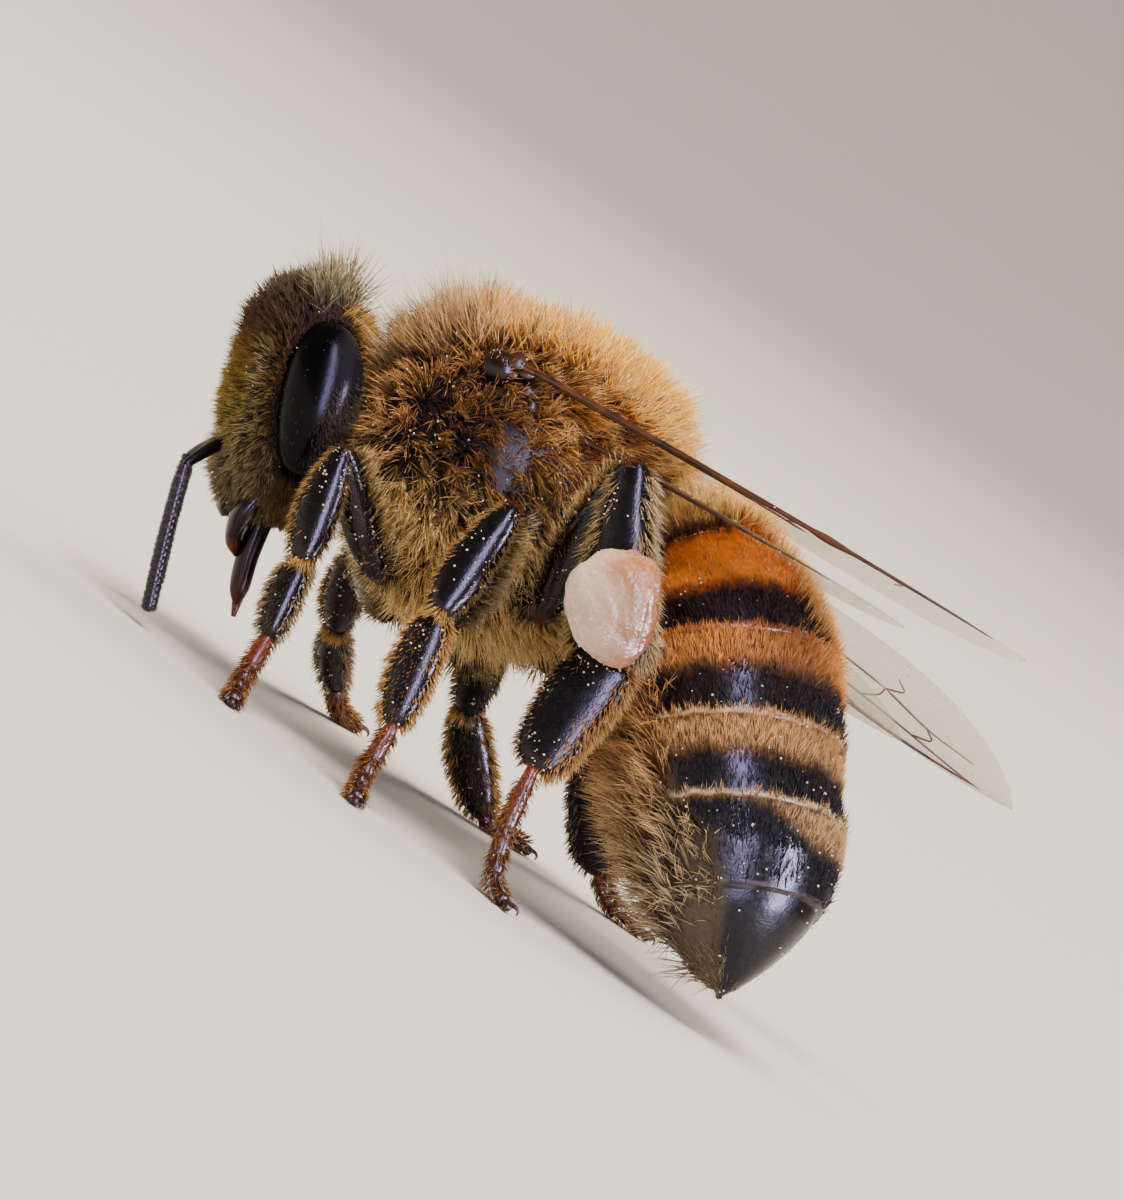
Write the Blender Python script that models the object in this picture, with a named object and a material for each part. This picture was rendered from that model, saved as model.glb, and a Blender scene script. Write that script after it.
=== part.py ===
"""A honey bee worker (Apis mellifera), life size, standing on six feet with full pollen baskets.

The bee faces -X with its left side towards -Y, and the floor is at z = 0. Lengths are in metres. A body
frame runs x forward, y to the bee's own left and z out of its back. Each body solid reaches to the tips of
the coat that grows on it, and wings, legs and feelers are at least half a millimetre thick.
"""
from dataclasses import dataclass
from math import cos, pi, radians, sin

import bpy
from mathutils import Matrix, Vector

MM = 0.001
GAP = 0.04 * MM
SIDES = {"body": 20, "eye": 14, "limb": 10, "fine": 8}
POLE_TRIM = 0.03  # share of a rounded end's half turn that its small flat cap cuts off

# Stance: the thorax hangs nose down and leans away from the left legs.
THORAX_CENTRE = Vector((-1.95, 0.0, 4.9)) * MM
THORAX_PITCH, BODY_ROLL = 17, 18
THORAX_LENGTH, THORAX_WIDTH = 4.75 * MM, 5.0 * MM
THORAX_BACK, THORAX_BELLY, THORAX_CREST = 2.90 * MM, 2.90 * MM, 0.08

# Head: the lens of the head capsule, from the mouth up to the crown, in its own frame.
HEAD_CENTRE = Vector((3.42, 0.0, 0.0)) * MM
HEAD_PITCH, HEAD_TURN, HEAD_ROLL = 7, 10, -16
HEAD_SECTIONS = (  # height, half width, front, back (mm)
    (-2.05, 0.40, 0.42, 0.10),
    (-1.75, 0.75, 0.68, 0.45),
    (-1.30, 1.05, 0.92, 0.70),
    (-0.70, 1.35, 1.12, 0.90),
    (0.00, 1.55, 1.24, 1.02),
    (0.80, 1.55, 1.28, 1.00),
    (1.45, 1.35, 1.16, 0.78),
    (1.90, 1.00, 0.86, 0.55),
    (2.25, 0.48, 0.44, 0.26),
)
EYE_CENTRE, EYE_HALF = (-0.19, 1.42, 0.17), (1.20, 0.50, 0.60)  # half height, bulge and half breadth

# Abdomen: an arc of six rings below the waist.
WAIST = Vector((-2.46, 0.0, 0.30)) * MM
ABDOMEN_LENGTH, ABDOMEN_WIDTH, ABDOMEN_DEPTH = 7.7 * MM, 4.4 * MM, 3.84 * MM
ABDOMEN_TURN = -4.5
RING_ENDS = (0.90, 2.70, 4.00, 5.18, 6.38, 7.70)  # distance of each ring's rear edge along the arc (mm)
RING_STEP = 0.035 * MM
TAIL_HUMP = 0.34 * MM  # how much fuller the back is than the belly near the tail

FOREWING = {"length": 9.0 * MM, "breadth": 4.10 * MM, "root": (0.25, 2.05, 1.12)}
HINDWING = {"length": 6.6 * MM, "breadth": 2.7 * MM, "root": (-0.10, 1.85, 0.55)}
WING_ANGLES = {  # spread away from the body and droop below the thorax axis
    "forewing_left": (8.0, 14.0),
    "forewing_right": (20.0, 14.5),
    "hindwing_left": (5.0, 13.0),
    "hindwing_right": (16.0, 14.0),
}
WING_ROOF, WING_THICKNESS = 9, 0.5 * MM
WING_SECTION = (  # shares of the chord back from the leading edge and of the thickness above the middle
    (0, 0), (0.1, 0.5), (0.5, 0.5), (0.9, 0.5), (1, 0), (0.9, -0.5), (0.5, -0.5), (0.1, -0.5),
)
TEGULA_PLACE, TEGULA_HALF = (0.50, 2.34, 1.0), (0.36, 0.30, 0.30)

FEELER_BASE, FEELER_RADIUS = (0.92, 0.28, -0.70), 0.25 * MM
FEELERS = {  # length, heading and climb of the scape and of the flagellum that hangs from it
    "left": ((1.05, -102, -36), (2.28, -14, -67)),
    "right": ((1.05, 128, -34), (2.10, 32, -68)),
}
MANDIBLE = {"root": (0.22, 0.50, -1.60), "tip": (0.30, 0.16, -2.35), "half": (0.20 * MM, 0.13 * MM)}
PROBOSCIS = {"root": (0.12, 0.0, -1.85), "tip": (0.20, 0.0, -3.30), "half": (0.27 * MM, 0.22 * MM)}

LIMB_SHAPE = ((0.0, 0.45), (0.05, 0.80), (0.25, 0.97), (0.55, 1.0), (0.85, 0.95), (0.96, 0.75), (1.0, 0.45))
TIBIA_TAPER = {"fore": (0.75, 1.0), "mid": (0.75, 1.0), "hind": (0.55, 1.0)}


@dataclass(frozen=True)
class Leg:
    """One leg: where its femur starts in the thorax frame (mm), then (length, heading, climb) per segment."""

    trochanter: tuple
    femur: tuple
    tibia: tuple
    basitarsus: tuple
    tarsus: tuple  # heading and level reach (mm): it curves down until it lies on the floor


LEGS = {
    "fore_left": Leg((1.22, 0.92, -2.35), (1.98, -153, 40), (1.77, -31, -71), (1.25, -34, -73), (-75, 0.85)),
    "fore_right": Leg((1.22, -1.10, -2.35), (2.00, 130, 15), (1.77, 80, -48), (1.25, 65, -40), (60, 0.95)),
    "mid_left": Leg((-0.14, 1.13, -2.66), (2.15, -92, 62), (1.98, -83, -72), (1.74, -35, -72), (-70, 0.95)),
    "mid_right": Leg((-0.14, -1.30, -2.66), (2.20, 98, 28), (1.98, 80, -66), (1.74, 35, -42), (40, 1.00)),
    "hind_left": Leg((-1.38, 1.29, -2.18), (2.74, -90, 71), (2.92, -16, -59), (1.96, -87, -78), (-35, 1.15)),
    "hind_right": Leg((-1.38, -1.40, -2.18), (2.70, 108, 35), (2.92, 28, -52), (1.96, 30, -57), (20, 1.15)),
}
LIMB_HALF = {  # half breadth and half thickness of each segment (mm)
    "fore": {"femur": (0.31, 0.28), "tibia": (0.33, 0.27), "basitarsus": (0.28, 0.26)},
    "mid": {"femur": (0.33, 0.29), "tibia": (0.35, 0.27), "basitarsus": (0.36, 0.27)},
    "hind": {"femur": (0.37, 0.30), "tibia": (0.60, 0.28), "basitarsus": (0.56, 0.27)},
}
TARSUS_RADIUS, TOE_HEIGHT = 0.26 * MM, 0.13 * MM
POLLEN_HALF, POLLEN_ALONG, POLLEN_OUT = (0.90, 0.52, 0.70), 0.74, 0.42

FINISHES = {  # colour, roughness
    "black cuticle": ((0.012, 0.010, 0.012), 0.25),
    "eye": ((0.010, 0.008, 0.016), 0.15),
    "brown cuticle": ((0.080, 0.030, 0.014), 0.40),
    "tan coat": ((0.380, 0.210, 0.070), 0.85),
    "dark coat": ((0.130, 0.085, 0.040), 0.85),
    "orange cuticle": ((0.550, 0.150, 0.020), 0.45),
    "banded coat": ((0.260, 0.130, 0.040), 0.70),
    "wing": ((0.280, 0.200, 0.110), 0.30),
    "pollen": ((0.700, 0.480, 0.380), 0.60),
}


def material(name):
    """The material of one finish, made once."""
    if name in bpy.data.materials:
        return bpy.data.materials[name]
    colour, roughness = FINISHES[name]
    finish = bpy.data.materials.new(name)
    finish.use_nodes = True
    shader = finish.node_tree.nodes["Principled BSDF"]
    shader.inputs["Base Color"].default_value = (*colour, 1.0)
    shader.inputs["Roughness"].default_value = roughness
    shader.inputs["Metallic"].default_value = 0.0
    return finish


def bee_frame(centre, turn, nose_down, left_up):
    """Frame whose x runs forward, y to the bee's left and z out of its back."""
    facing = Matrix.Rotation(pi + radians(turn), 4, "Z")
    pitched = Matrix.Rotation(radians(nose_down), 4, "Y")
    rolled = Matrix.Rotation(radians(left_up), 4, "X")
    return Matrix.Translation(centre) @ facing @ pitched @ rolled


def heading_vector(heading, climb):
    """Unit vector at a heading from +X towards +Y and a climb above the floor, in degrees."""
    level = cos(radians(climb))
    return Vector((level * cos(radians(heading)), level * sin(radians(heading)), sin(radians(climb))))


def mirrored(place, side):
    """Point from a place (mm) given for the left side, on the side that is asked for."""
    return Vector((place[0], place[1] if side == "left" else -place[1], place[2])) * MM


def pole_angle(step, steps):
    """Angle from pole to pole at one of several steps, short of the poles by the trim."""
    return pi * min(max(step / steps, POLE_TRIM), 1 - POLE_TRIM)


def oval(centre, side, up, half, above, below, count):
    """Ring of points around a centre, with its own reach above and below."""
    points = []
    for step in range(count):
        angle = 2 * pi * step / count
        rise = above if sin(angle) > 0 else below
        points.append(centre + side * (half * cos(angle)) + up * (rise * sin(angle)))
    return points


def loft(name, rings, frame, finish):
    """Closed solid through rings with the same number of points, standing in a frame."""
    count = len(rings[0])
    points = [point for ring in rings for point in ring]
    faces = [tuple(range(count))[::-1], tuple(range(len(points) - count, len(points)))]
    for row in range(len(rings) - 1):
        near, far = row * count, (row + 1) * count
        for step in range(count):
            after = (step + 1) % count
            faces.append((near + step, near + after, far + after, far + step))
    mesh = bpy.data.meshes.new(name)
    mesh.from_pydata(points, [], faces)
    turn_outward(mesh)
    mesh.polygons.foreach_set("use_smooth", [len(face.vertices) == 4 for face in mesh.polygons])
    mesh.materials.append(material(finish))
    solid = bpy.data.objects.new(name, mesh)
    solid.matrix_world = frame
    bpy.data.collections["honey bee"].objects.link(solid)
    return solid


def turn_outward(mesh):
    """Flips the faces of a closed mesh that encloses a negative volume."""
    volume = 0.0
    for face in mesh.polygons:
        first, *rest = (mesh.vertices[index].co for index in face.vertices)
        for second, third in zip(rest, rest[1:]):
            volume += first.dot(second.cross(third))
    if volume < 0:
        mesh.flip_normals()


def clearance(solid):
    """Copy of a solid grown by the gap, kept as a hidden cutter."""
    name = solid.name + " clearance"
    if name in bpy.data.objects:
        return bpy.data.objects[name]
    mesh = solid.data.copy()
    normals = [vertex.normal.copy() for vertex in mesh.vertices]
    for vertex, normal in zip(mesh.vertices, normals):
        vertex.co += normal * GAP
    cutter = bpy.data.objects.new(name, mesh)
    cutter.matrix_world = solid.matrix_world
    cutter.hide_render = True
    cutter.display_type = "WIRE"
    bpy.data.collections["clearances"].objects.link(cutter)
    return cutter


def keep_clear(solid, *neighbours):
    """Cuts room for each neighbour out of a solid, so that they meet with the gap."""
    for neighbour in neighbours:
        cut = solid.modifiers.new("clear of " + neighbour.name, "BOOLEAN")
        cut.operation = "DIFFERENCE"
        cut.solver = "EXACT"
        cut.object = clearance(neighbour)


def ellipsoid(name, frame, half, count, finish):
    """Ellipsoid with its half sizes (mm) along the frame's axes, its poles on the x axis."""
    rings = []
    for step in range(count // 2 + 1):
        angle = pole_angle(step, count // 2)
        centre = Vector((-half[0] * cos(angle), 0, 0)) * MM
        reach = sin(angle) * MM
        rings.append(oval(centre, Vector((0, 1, 0)), Vector((0, 0, 1)), half[1] * reach, half[2] * reach,
                          half[2] * reach, count))
    return loft(name, rings, frame, finish)


def make_thorax(frame):
    """The thorax with its coat: blunt at both ends, deepest over the legs."""
    rings, steps = [], 14
    for step in range(steps + 1):
        along = -cos(pole_angle(step, steps))
        girth = (1 - abs(along) ** (4.6 if along > 0 else 3.4)) ** 0.45
        flank = (1 - abs(along) ** 2.6) ** 0.5 * THORAX_WIDTH / 2
        back = girth * THORAX_BACK * (1 + THORAX_CREST * along)
        rings.append(oval(Vector((along * THORAX_LENGTH / 2, 0, 0)), Vector((0, 1, 0)), Vector((0, 0, 1)),
                          flank, back, girth * THORAX_BELLY, SIDES["body"]))
    return loft("thorax", rings, frame, "tan coat")


def make_head(frame):
    """The head capsule with its coat, and the two compound eyes sunk into its sides."""
    rings = []
    for height, half, front, back in HEAD_SECTIONS:
        rings.append(oval(Vector((0, 0, height * MM)), Vector((0, 1, 0)), Vector((1, 0, 0)),
                          half * MM, front * MM, back * MM, SIDES["body"]))
    head = loft("head", rings, frame, "dark coat")
    upright = Matrix.Rotation(pi / 2, 4, "Y")
    for side in ("left", "right"):
        place = frame @ Matrix.Translation(mirrored(EYE_CENTRE, side)) @ upright
        eye = ellipsoid("eye_" + side, place, EYE_HALF, SIDES["eye"], "eye")
        keep_clear(head, eye)
    return head


def abdomen_droop(share):
    """Angle of the abdomen's axis below the thorax axis, at a share of its length."""
    return radians(44 + 12 * sin(pi * share ** 0.85) + 26 * share)


def abdomen_girth(share):
    """Share of the full width and depth: swells quickly behind the waist and runs out to a blunt point."""
    return max((1 - abs(2 * share - 1) ** 2.4) ** 0.62 * (1 - 0.3 * share ** 4), 0.09)


def abdomen_place(distance):
    """Centre and downward lean of the abdomen's axis at a distance behind the waist."""
    centre, steps = Vector((0, 0, 0)), 30
    for step in range(steps):
        angle = abdomen_droop((step + 0.5) / steps * distance / ABDOMEN_LENGTH)
        centre += Vector((-cos(angle), 0, -sin(angle))) * distance / steps
    return centre, abdomen_droop(distance / ABDOMEN_LENGTH)


def make_abdomen(frame):
    """Six rings, each a little wider at its rear edge than the next one's front edge."""
    rings_made = []
    start = 0.0
    for number, end in enumerate(RING_ENDS, 1):
        sections = []
        steps = 5 if number in (1, 6) else 3
        first, last = start * MM + GAP / 2, end * MM - GAP / 2
        for step in range(steps + 1):
            distance = first + (last - first) * step / steps
            centre, lean = abdomen_place(distance)
            girth = abdomen_girth(distance / ABDOMEN_LENGTH)
            flare = RING_STEP * (step / steps - 0.5) if number < 6 else 0.0
            up = Vector((-sin(lean), 0, cos(lean)))
            deep = girth * ABDOMEN_DEPTH / 2 + flare
            hump = TAIL_HUMP * sin(pi * max(distance / ABDOMEN_LENGTH - 0.6, 0) / 0.4)
            sections.append(oval(centre, Vector((0, 1, 0)), up, girth * ABDOMEN_WIDTH / 2 + flare, deep + hump,
                                 deep, SIDES["body"]))
        finish = {1: "tan coat", 2: "orange cuticle", 6: "black cuticle"}.get(number, "banded coat")
        rings_made.append(loft(f"abdomen_ring_{number}", sections, frame, finish))
        start = end
    return rings_made


def limb_axes(along):
    """Thin and broad directions of a limb: its flat faces look to the bee's sides."""
    thin = (Vector((0, 1, 0)) - along * along.y).normalized()
    return thin, thin.cross(along)


def limb(name, frame, start, end, half, taper, finish, count=SIDES["limb"]):
    """Rounded limb between two points, with its half breadth and half thickness scaled by the taper."""
    along = (end - start).normalized()
    thin, broad = limb_axes(along)
    rings = []
    for share, scale in LIMB_SHAPE:
        size = scale * (taper[0] + (taper[1] - taper[0]) * share)
        rings.append(oval(start.lerp(end, share), thin, broad, half[1] * size, half[0] * size, half[0] * size,
                          count))
    return loft(name, rings, frame, finish)


def make_tarsus(name, joint, heading, reach):
    """Foot that curves down from the joint and lies on a flat sole at the floor."""
    level = heading_vector(heading, 0)
    thin = level.cross(Vector((0, 0, 1)))
    drop = joint.z - TOE_HEIGHT
    rings = []
    for share, scale in LIMB_SHAPE:
        centre = Vector((joint.x, joint.y, TOE_HEIGHT)) + level * (reach * share)
        centre.z += drop * (1 - share) ** 3
        along = (level * reach - Vector((0, 0, 3 * drop * (1 - share) ** 2))).normalized()
        radius = TARSUS_RADIUS * scale
        ring = oval(centre, thin, thin.cross(along), radius, radius, radius, SIDES["fine"])
        rings.append([Vector((point.x, point.y, max(point.z, 0.0))) for point in ring])
    return loft(name, rings, Matrix(), "brown cuticle")


def make_legs(thorax_frame, thorax):
    """Six legs of four segments each, standing on flat soles, and the pollen loads of the hind pair."""
    for name, leg in LEGS.items():
        pair, side = name.split("_")
        joint = thorax_frame @ (Vector(leg.trochanter) * MM)
        made = [thorax]
        for part, taper in (("femur", (0.9, 1.0)), ("tibia", TIBIA_TAPER[pair]), ("basitarsus", (1.0, 0.85))):
            length, heading, climb = getattr(leg, part)
            along = heading_vector(heading, climb)
            knee, joint = joint, joint + along * length * MM
            half = tuple(size * MM for size in LIMB_HALF[pair][part])
            segment = limb(f"{part}_{name}", Matrix(), knee + along * GAP, joint - along * GAP, half, taper,
                           "black cuticle")
            keep_clear(segment, made[-1])
            made.append(segment)
            if pair == "hind" and part == "tibia":
                load = make_pollen(side, knee, along, length * MM)
                keep_clear(load, segment)
        keep_clear(made[1], made[2])
        heading, reach = leg.tarsus
        tarsus = make_tarsus("tarsus_" + name, joint, heading, reach * MM)
        keep_clear(tarsus, made[-1])
        if pair == "hind":
            keep_clear(load, made[-1])


def make_pollen(side, knee, along, length):
    """Lump of packed pollen on the outer face of a hind tibia."""
    outward = limb_axes(along)[0] * (-1 if side == "left" else 1)
    frame = Matrix((along, outward, along.cross(outward))).transposed().to_4x4()
    frame.translation = knee + along * (length * POLLEN_ALONG) + outward * (POLLEN_OUT * MM)
    return ellipsoid("pollen_load_" + side, frame, POLLEN_HALF, SIDES["eye"], "pollen")


def make_wing(name, side, size, thorax_frame, neighbours):
    """Flat wing blade: a bowed leading edge and a trailing edge that is widest near the tip."""
    spread, droop = (radians(angle) for angle in WING_ANGLES[f"{name}_{side}"])
    roof = radians(WING_ROOF)
    hand = 1 if side == "left" else -1
    root = mirrored(size["root"], side)
    along = Vector((-cos(droop) * cos(spread), hand * cos(droop) * sin(spread), -sin(droop)))
    outward = Vector((0, hand * cos(roof), -sin(roof)))
    outward = (outward - along * outward.dot(along)).normalized()
    normal = along.cross(outward) * -hand
    rings, steps = [], 13
    for step in range(steps + 1):
        share = 0.5 - 0.5 * cos(pole_angle(step, steps))
        chord = size["breadth"] * (share + 0.06) ** 0.7 * (1 - share ** 4.2) ** 0.85
        lead = size["length"] * (0.022 * sin(pi * share) - 0.06 * share ** 9)
        ring = []
        for across, lift in WING_SECTION:
            ring.append(root + along * (share * size["length"]) + outward * (lead - across * chord)
                        + normal * (lift * WING_THICKNESS))
        rings.append(ring)
    wing = loft(f"{name}_{side}", rings, thorax_frame, "wing")
    keep_clear(wing, *neighbours)
    return wing


def make_feelers(head_frame, head):
    """Each feeler has a scape from the face and a flagellum that hangs from the elbow."""
    half = (FEELER_RADIUS, FEELER_RADIUS)
    for side, (scape, flagellum) in FEELERS.items():
        base = head_frame @ mirrored(FEELER_BASE, side)
        elbow = base + heading_vector(*scape[1:]) * scape[0] * MM
        hanging = heading_vector(*flagellum[1:])
        tip = elbow + hanging * flagellum[0] * MM
        upper = limb("scape_" + side, Matrix(), base, elbow, half, (1, 1), "black cuticle", SIDES["fine"])
        keep_clear(upper, head)
        lower = limb("flagellum_" + side, Matrix(), elbow + hanging * GAP, tip, half, (1, 1), "black cuticle",
                     SIDES["fine"])
        keep_clear(lower, upper)


def make_mouthparts(head_frame, head):
    """Two mandibles under the face and the folded proboscis between and behind them."""
    for side in ("left", "right"):
        mandible = limb("mandible_" + side, head_frame, mirrored(MANDIBLE["root"], side),
                        mirrored(MANDIBLE["tip"], side), MANDIBLE["half"], (1.0, 0.8), "black cuticle",
                        SIDES["fine"])
        keep_clear(mandible, head)
    proboscis = limb("proboscis", head_frame, mirrored(PROBOSCIS["root"], "left"),
                     mirrored(PROBOSCIS["tip"], "left"), PROBOSCIS["half"], (1.0, 0.8), "brown cuticle",
                     SIDES["fine"])
    keep_clear(proboscis, head)


def main():
    """Builds the bee from its thorax outwards."""
    for leftover in list(bpy.data.objects):
        bpy.data.objects.remove(leftover, do_unlink=True)
    for name in ("honey bee", "clearances"):
        collection = bpy.data.collections.new(name)
        bpy.context.scene.collection.children.link(collection)

    thorax_frame = bee_frame(THORAX_CENTRE, 0, THORAX_PITCH, BODY_ROLL)
    thorax = make_thorax(thorax_frame)
    head_turn = Matrix.Rotation(radians(HEAD_TURN), 4, "Z") @ Matrix.Rotation(radians(HEAD_PITCH), 4, "Y")
    head_level = Matrix.Rotation(radians(HEAD_ROLL), 4, "X")
    head_frame = thorax_frame @ Matrix.Translation(HEAD_CENTRE) @ head_turn @ head_level
    head = make_head(head_frame)
    keep_clear(head, thorax)
    make_feelers(head_frame, head)
    make_mouthparts(head_frame, head)

    abdomen_frame = thorax_frame @ Matrix.Translation(WAIST) @ Matrix.Rotation(radians(ABDOMEN_TURN), 4, "Z")
    abdomen = make_abdomen(abdomen_frame)
    for ring in abdomen[:2]:
        keep_clear(ring, thorax)
    make_legs(thorax_frame, thorax)
    for side in ("left", "right"):
        forewing = make_wing("forewing", side, FOREWING, thorax_frame, (thorax, *abdomen[:3]))
        make_wing("hindwing", side, HINDWING, thorax_frame, (thorax, *abdomen[:3], forewing))
        place = thorax_frame @ Matrix.Translation(mirrored(TEGULA_PLACE, side))
        tegula = ellipsoid("tegula_" + side, place, TEGULA_HALF, SIDES["limb"], "brown cuticle")
        keep_clear(tegula, thorax)


main()
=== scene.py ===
"""Looks of a life-size honey bee worker: skins under coats of mesh hairs, eyes, limbs and wings.

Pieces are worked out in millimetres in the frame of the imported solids. The trunk's axes come from its
wing cups, the head's from the eyes and the limbs' from their solids.
"""

import logging
from dataclasses import dataclass, field
from enum import Enum

import bpy
import numpy as np
from mathutils import Matrix
from numpy import clip, cos, cross, pi, sin, stack

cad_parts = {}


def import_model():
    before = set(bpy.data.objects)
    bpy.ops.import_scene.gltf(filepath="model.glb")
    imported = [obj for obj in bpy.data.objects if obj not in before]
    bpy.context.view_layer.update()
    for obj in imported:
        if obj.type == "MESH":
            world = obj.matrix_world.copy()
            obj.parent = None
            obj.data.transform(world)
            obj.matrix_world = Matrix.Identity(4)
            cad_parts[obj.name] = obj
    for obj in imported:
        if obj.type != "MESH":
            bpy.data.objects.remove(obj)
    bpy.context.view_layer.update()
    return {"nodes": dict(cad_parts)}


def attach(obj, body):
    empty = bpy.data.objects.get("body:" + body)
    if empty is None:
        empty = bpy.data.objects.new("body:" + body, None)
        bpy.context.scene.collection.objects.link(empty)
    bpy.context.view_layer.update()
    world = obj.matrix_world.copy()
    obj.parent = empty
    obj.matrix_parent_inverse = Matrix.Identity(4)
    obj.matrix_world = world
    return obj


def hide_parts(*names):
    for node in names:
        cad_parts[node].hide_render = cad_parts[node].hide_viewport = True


Array = np.ndarray
Chance = np.random.Generator
Piece = bpy.types.Object
Triple = tuple[float, float, float]
MM = 0.001
FLOOR_GAP = 0.004  # mm between the floor and the lowest point
MOST_TRIANGLES = 195000  # in one piece of a coat
SUNK = 0.04  # share of a hair that is below the skin
MARKINGS = "Markings"
LOG = logging.getLogger("honey bee")
SIDES = {"left": 1.0, "right": -1.0}
PAIRS = ("fore", "mid", "hind")


class Glow(Enum):
    """What a light does: it lights matt surfaces only, or makes reflections only."""

    SOFT = "soft"
    GLINT = "glint"


class Edge(Enum):
    """Where round a joint a kind of hair grows."""

    FRONT = "front edge"
    REAR = "rear edge"
    EDGES = "both edges"
    FACES = "both faces"
    ALL = "all round"


class Slot(Enum):
    """Material slots of the record that the pieces take their finish from."""

    BLACK = "black cuticle"
    EYE = "eye"
    BROWN = "brown cuticle"
    TAN = "tan coat"
    DARK = "dark coat"
    BANDED = "banded coat"
    WING = "wing"
    POLLEN = "pollen"


def linear(colour: str | Array) -> Array:
    """Turns a #rrggbb code into linear light.

    Args:
        colour: sRGB hex code, or linear values, which pass as they are.

    Returns:
        Three linear values from 0 to 1, or the rows given.
    """
    if not isinstance(colour, str):
        return colour
    code = np.array([int(colour[i:i + 2], 16) for i in (1, 3, 5)]) / 255.0
    return np.where(code <= 0.04045, code / 12.92, ((code + 0.055) / 1.055) ** 2.4)


def unit(vectors: Array) -> Array:
    """Scales vectors to length one along their last axis."""
    return vectors / np.maximum(np.linalg.norm(vectors, axis=-1, keepdims=True), 1e-12)


def round_angles(count: int) -> Array:
    """Evenly spaced angles once round, in radians."""
    return 2 * pi * np.arange(count) / count


def shares(count: int) -> Array:
    """Evenly spaced shares from 0 to 1."""
    return np.linspace(0, 1, count)


def bell(at: Array, middle: float, width: float) -> Array:
    """Bell exp(-((x - m) / w)^2) round a middle m."""
    return np.exp(-((at - middle) / width) ** 2)


def ball(latitude: Array, columns: int) -> Array:
    """Unit ball strung along x: x = sin b, y = cos b cos a, z = cos b sin a, with b the latitude."""
    rise, angle = latitude[:, None], round_angles(columns)
    return stack([sin(rise) + 0 * angle, cos(rise) * cos(angle), cos(rise) * sin(angle)], axis=-1)


def curve_through(stations: Array, values: Array, at: Array) -> Array:
    """Smooth curve through given values: cubic pieces whose slopes are those of their neighbours.

    With h the step and t the share of it, value = v0 (1 + 2t)(1 - t)^2 + v1 t^2 (3 - 2t)
    + h (m0 t (1 - t)^2 - m1 t^2 (1 - t)).

    Args:
        stations: rising positions.
        values: one value, or one row of values, for each station.
        at: positions to read.

    Returns:
        The values at those positions.
    """
    stations, values = np.asarray(stations, float), np.asarray(values, float)
    slopes = np.gradient(values, stations, axis=0)
    cell = clip(np.searchsorted(stations, at) - 1, 0, len(stations) - 2)
    step = stations[cell + 1] - stations[cell]
    share = clip((at - stations[cell]) / step, 0, 1)
    if values.ndim > 1:
        share, step = share[..., None], step[..., None]
    near, far = values[cell] * (1 + 2 * share) * (1 - share) ** 2, values[cell + 1] * share ** 2 * (3 - 2 * share)
    lean = slopes[cell] * share * (1 - share) ** 2 - slopes[cell + 1] * share ** 2 * (1 - share)
    return near + far + step * lean


def shades(stops: dict[float, str], at: Array) -> Array:
    """Colours that run from stop to stop.

    Args:
        stops: hex colour at each rising position.
        at: positions to read.

    Returns:
        Linear colour at each position, one row each.
    """
    places = np.array(list(stops))
    table = np.array([linear(code) for code in stops.values()])
    return stack([np.interp(at, places, table[:, channel]) for channel in range(3)], axis=-1)


def mixed(first: str | Array, second: str | Array, share: Array) -> Array:
    """Blends two colours or sets of colours: first (1 - share) + second share."""
    share = clip(share, 0, 1)[..., None]
    return linear(first) * (1 - share) + linear(second) * share


def ramp(low: float, high: float, at: Array) -> Array:
    """Smooth step 3t^2 - 2t^3 from 0 at low to 1 at high."""
    share = clip((at - low) / (high - low), 0, 1)
    return share * share * (3 - 2 * share)


def sway(points: Array, wavelength: float, seed: int) -> Array:
    """Smooth random directions: a sum of eight waves sin(k.p + phase), each with its own vector.

    Args:
        points: places in mm.
        wavelength: typical distance in mm over which the direction changes.
        seed: picks the waves.

    Returns:
        A vector of about unit length at each place.
    """
    rng = np.random.default_rng(seed)
    waves = unit(rng.normal(size=(8, 3))) * (2 * pi / wavelength) * rng.uniform(0.6, 1.5, (8, 1))
    swing = sin(points @ waves.T + rng.uniform(0, 2 * pi, 8))
    return swing @ rng.normal(size=(8, 3)) / 2.8


def gather(points: Array, wavelength: float, seed: int) -> Array:
    """Directions that draw hairs into tufts: the slope of a sum of waves, sum of cos(k.p + phase) k / |k|.

    Args:
        points: places in mm.
        wavelength: typical distance in mm between tufts.
        seed: picks the waves.

    Returns:
        A vector of about unit length at each place.
    """
    rng = np.random.default_rng(seed)
    ways = unit(rng.normal(size=(10, 3)))
    waves = ways * (2 * pi / wavelength) * rng.uniform(0.75, 1.3, (10, 1))
    return cos(points @ waves.T + rng.uniform(0, 2 * pi, 10)) @ ways / 1.8


@dataclass(frozen=True)
class Axes:
    """A place and three directions: x forward, y to the bee's left and z out of its back (mm)."""

    origin: Array
    rows: Array

    def out(self, points: Array) -> Array:
        """World places of local points."""
        return self.origin + np.asarray(points, float) @ self.rows

    def turn(self, directions: Array) -> Array:
        """World directions of local ones."""
        return np.asarray(directions, float) @ self.rows

    def home(self, points: Array) -> Array:
        """Local places of world points."""
        return (np.asarray(points, float) - self.origin) @ self.rows.T

    def moved(self, place: Triple, heading: float = 0.0) -> "Axes":
        """Axes at a local place, turned to the left by a heading in degrees."""
        c, s = cos(np.radians(heading)), sin(np.radians(heading))
        return Axes(self.out(place), np.array([[c, s, 0], [-s, c, 0], [0, 0, 1]]) @ self.rows)


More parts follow.
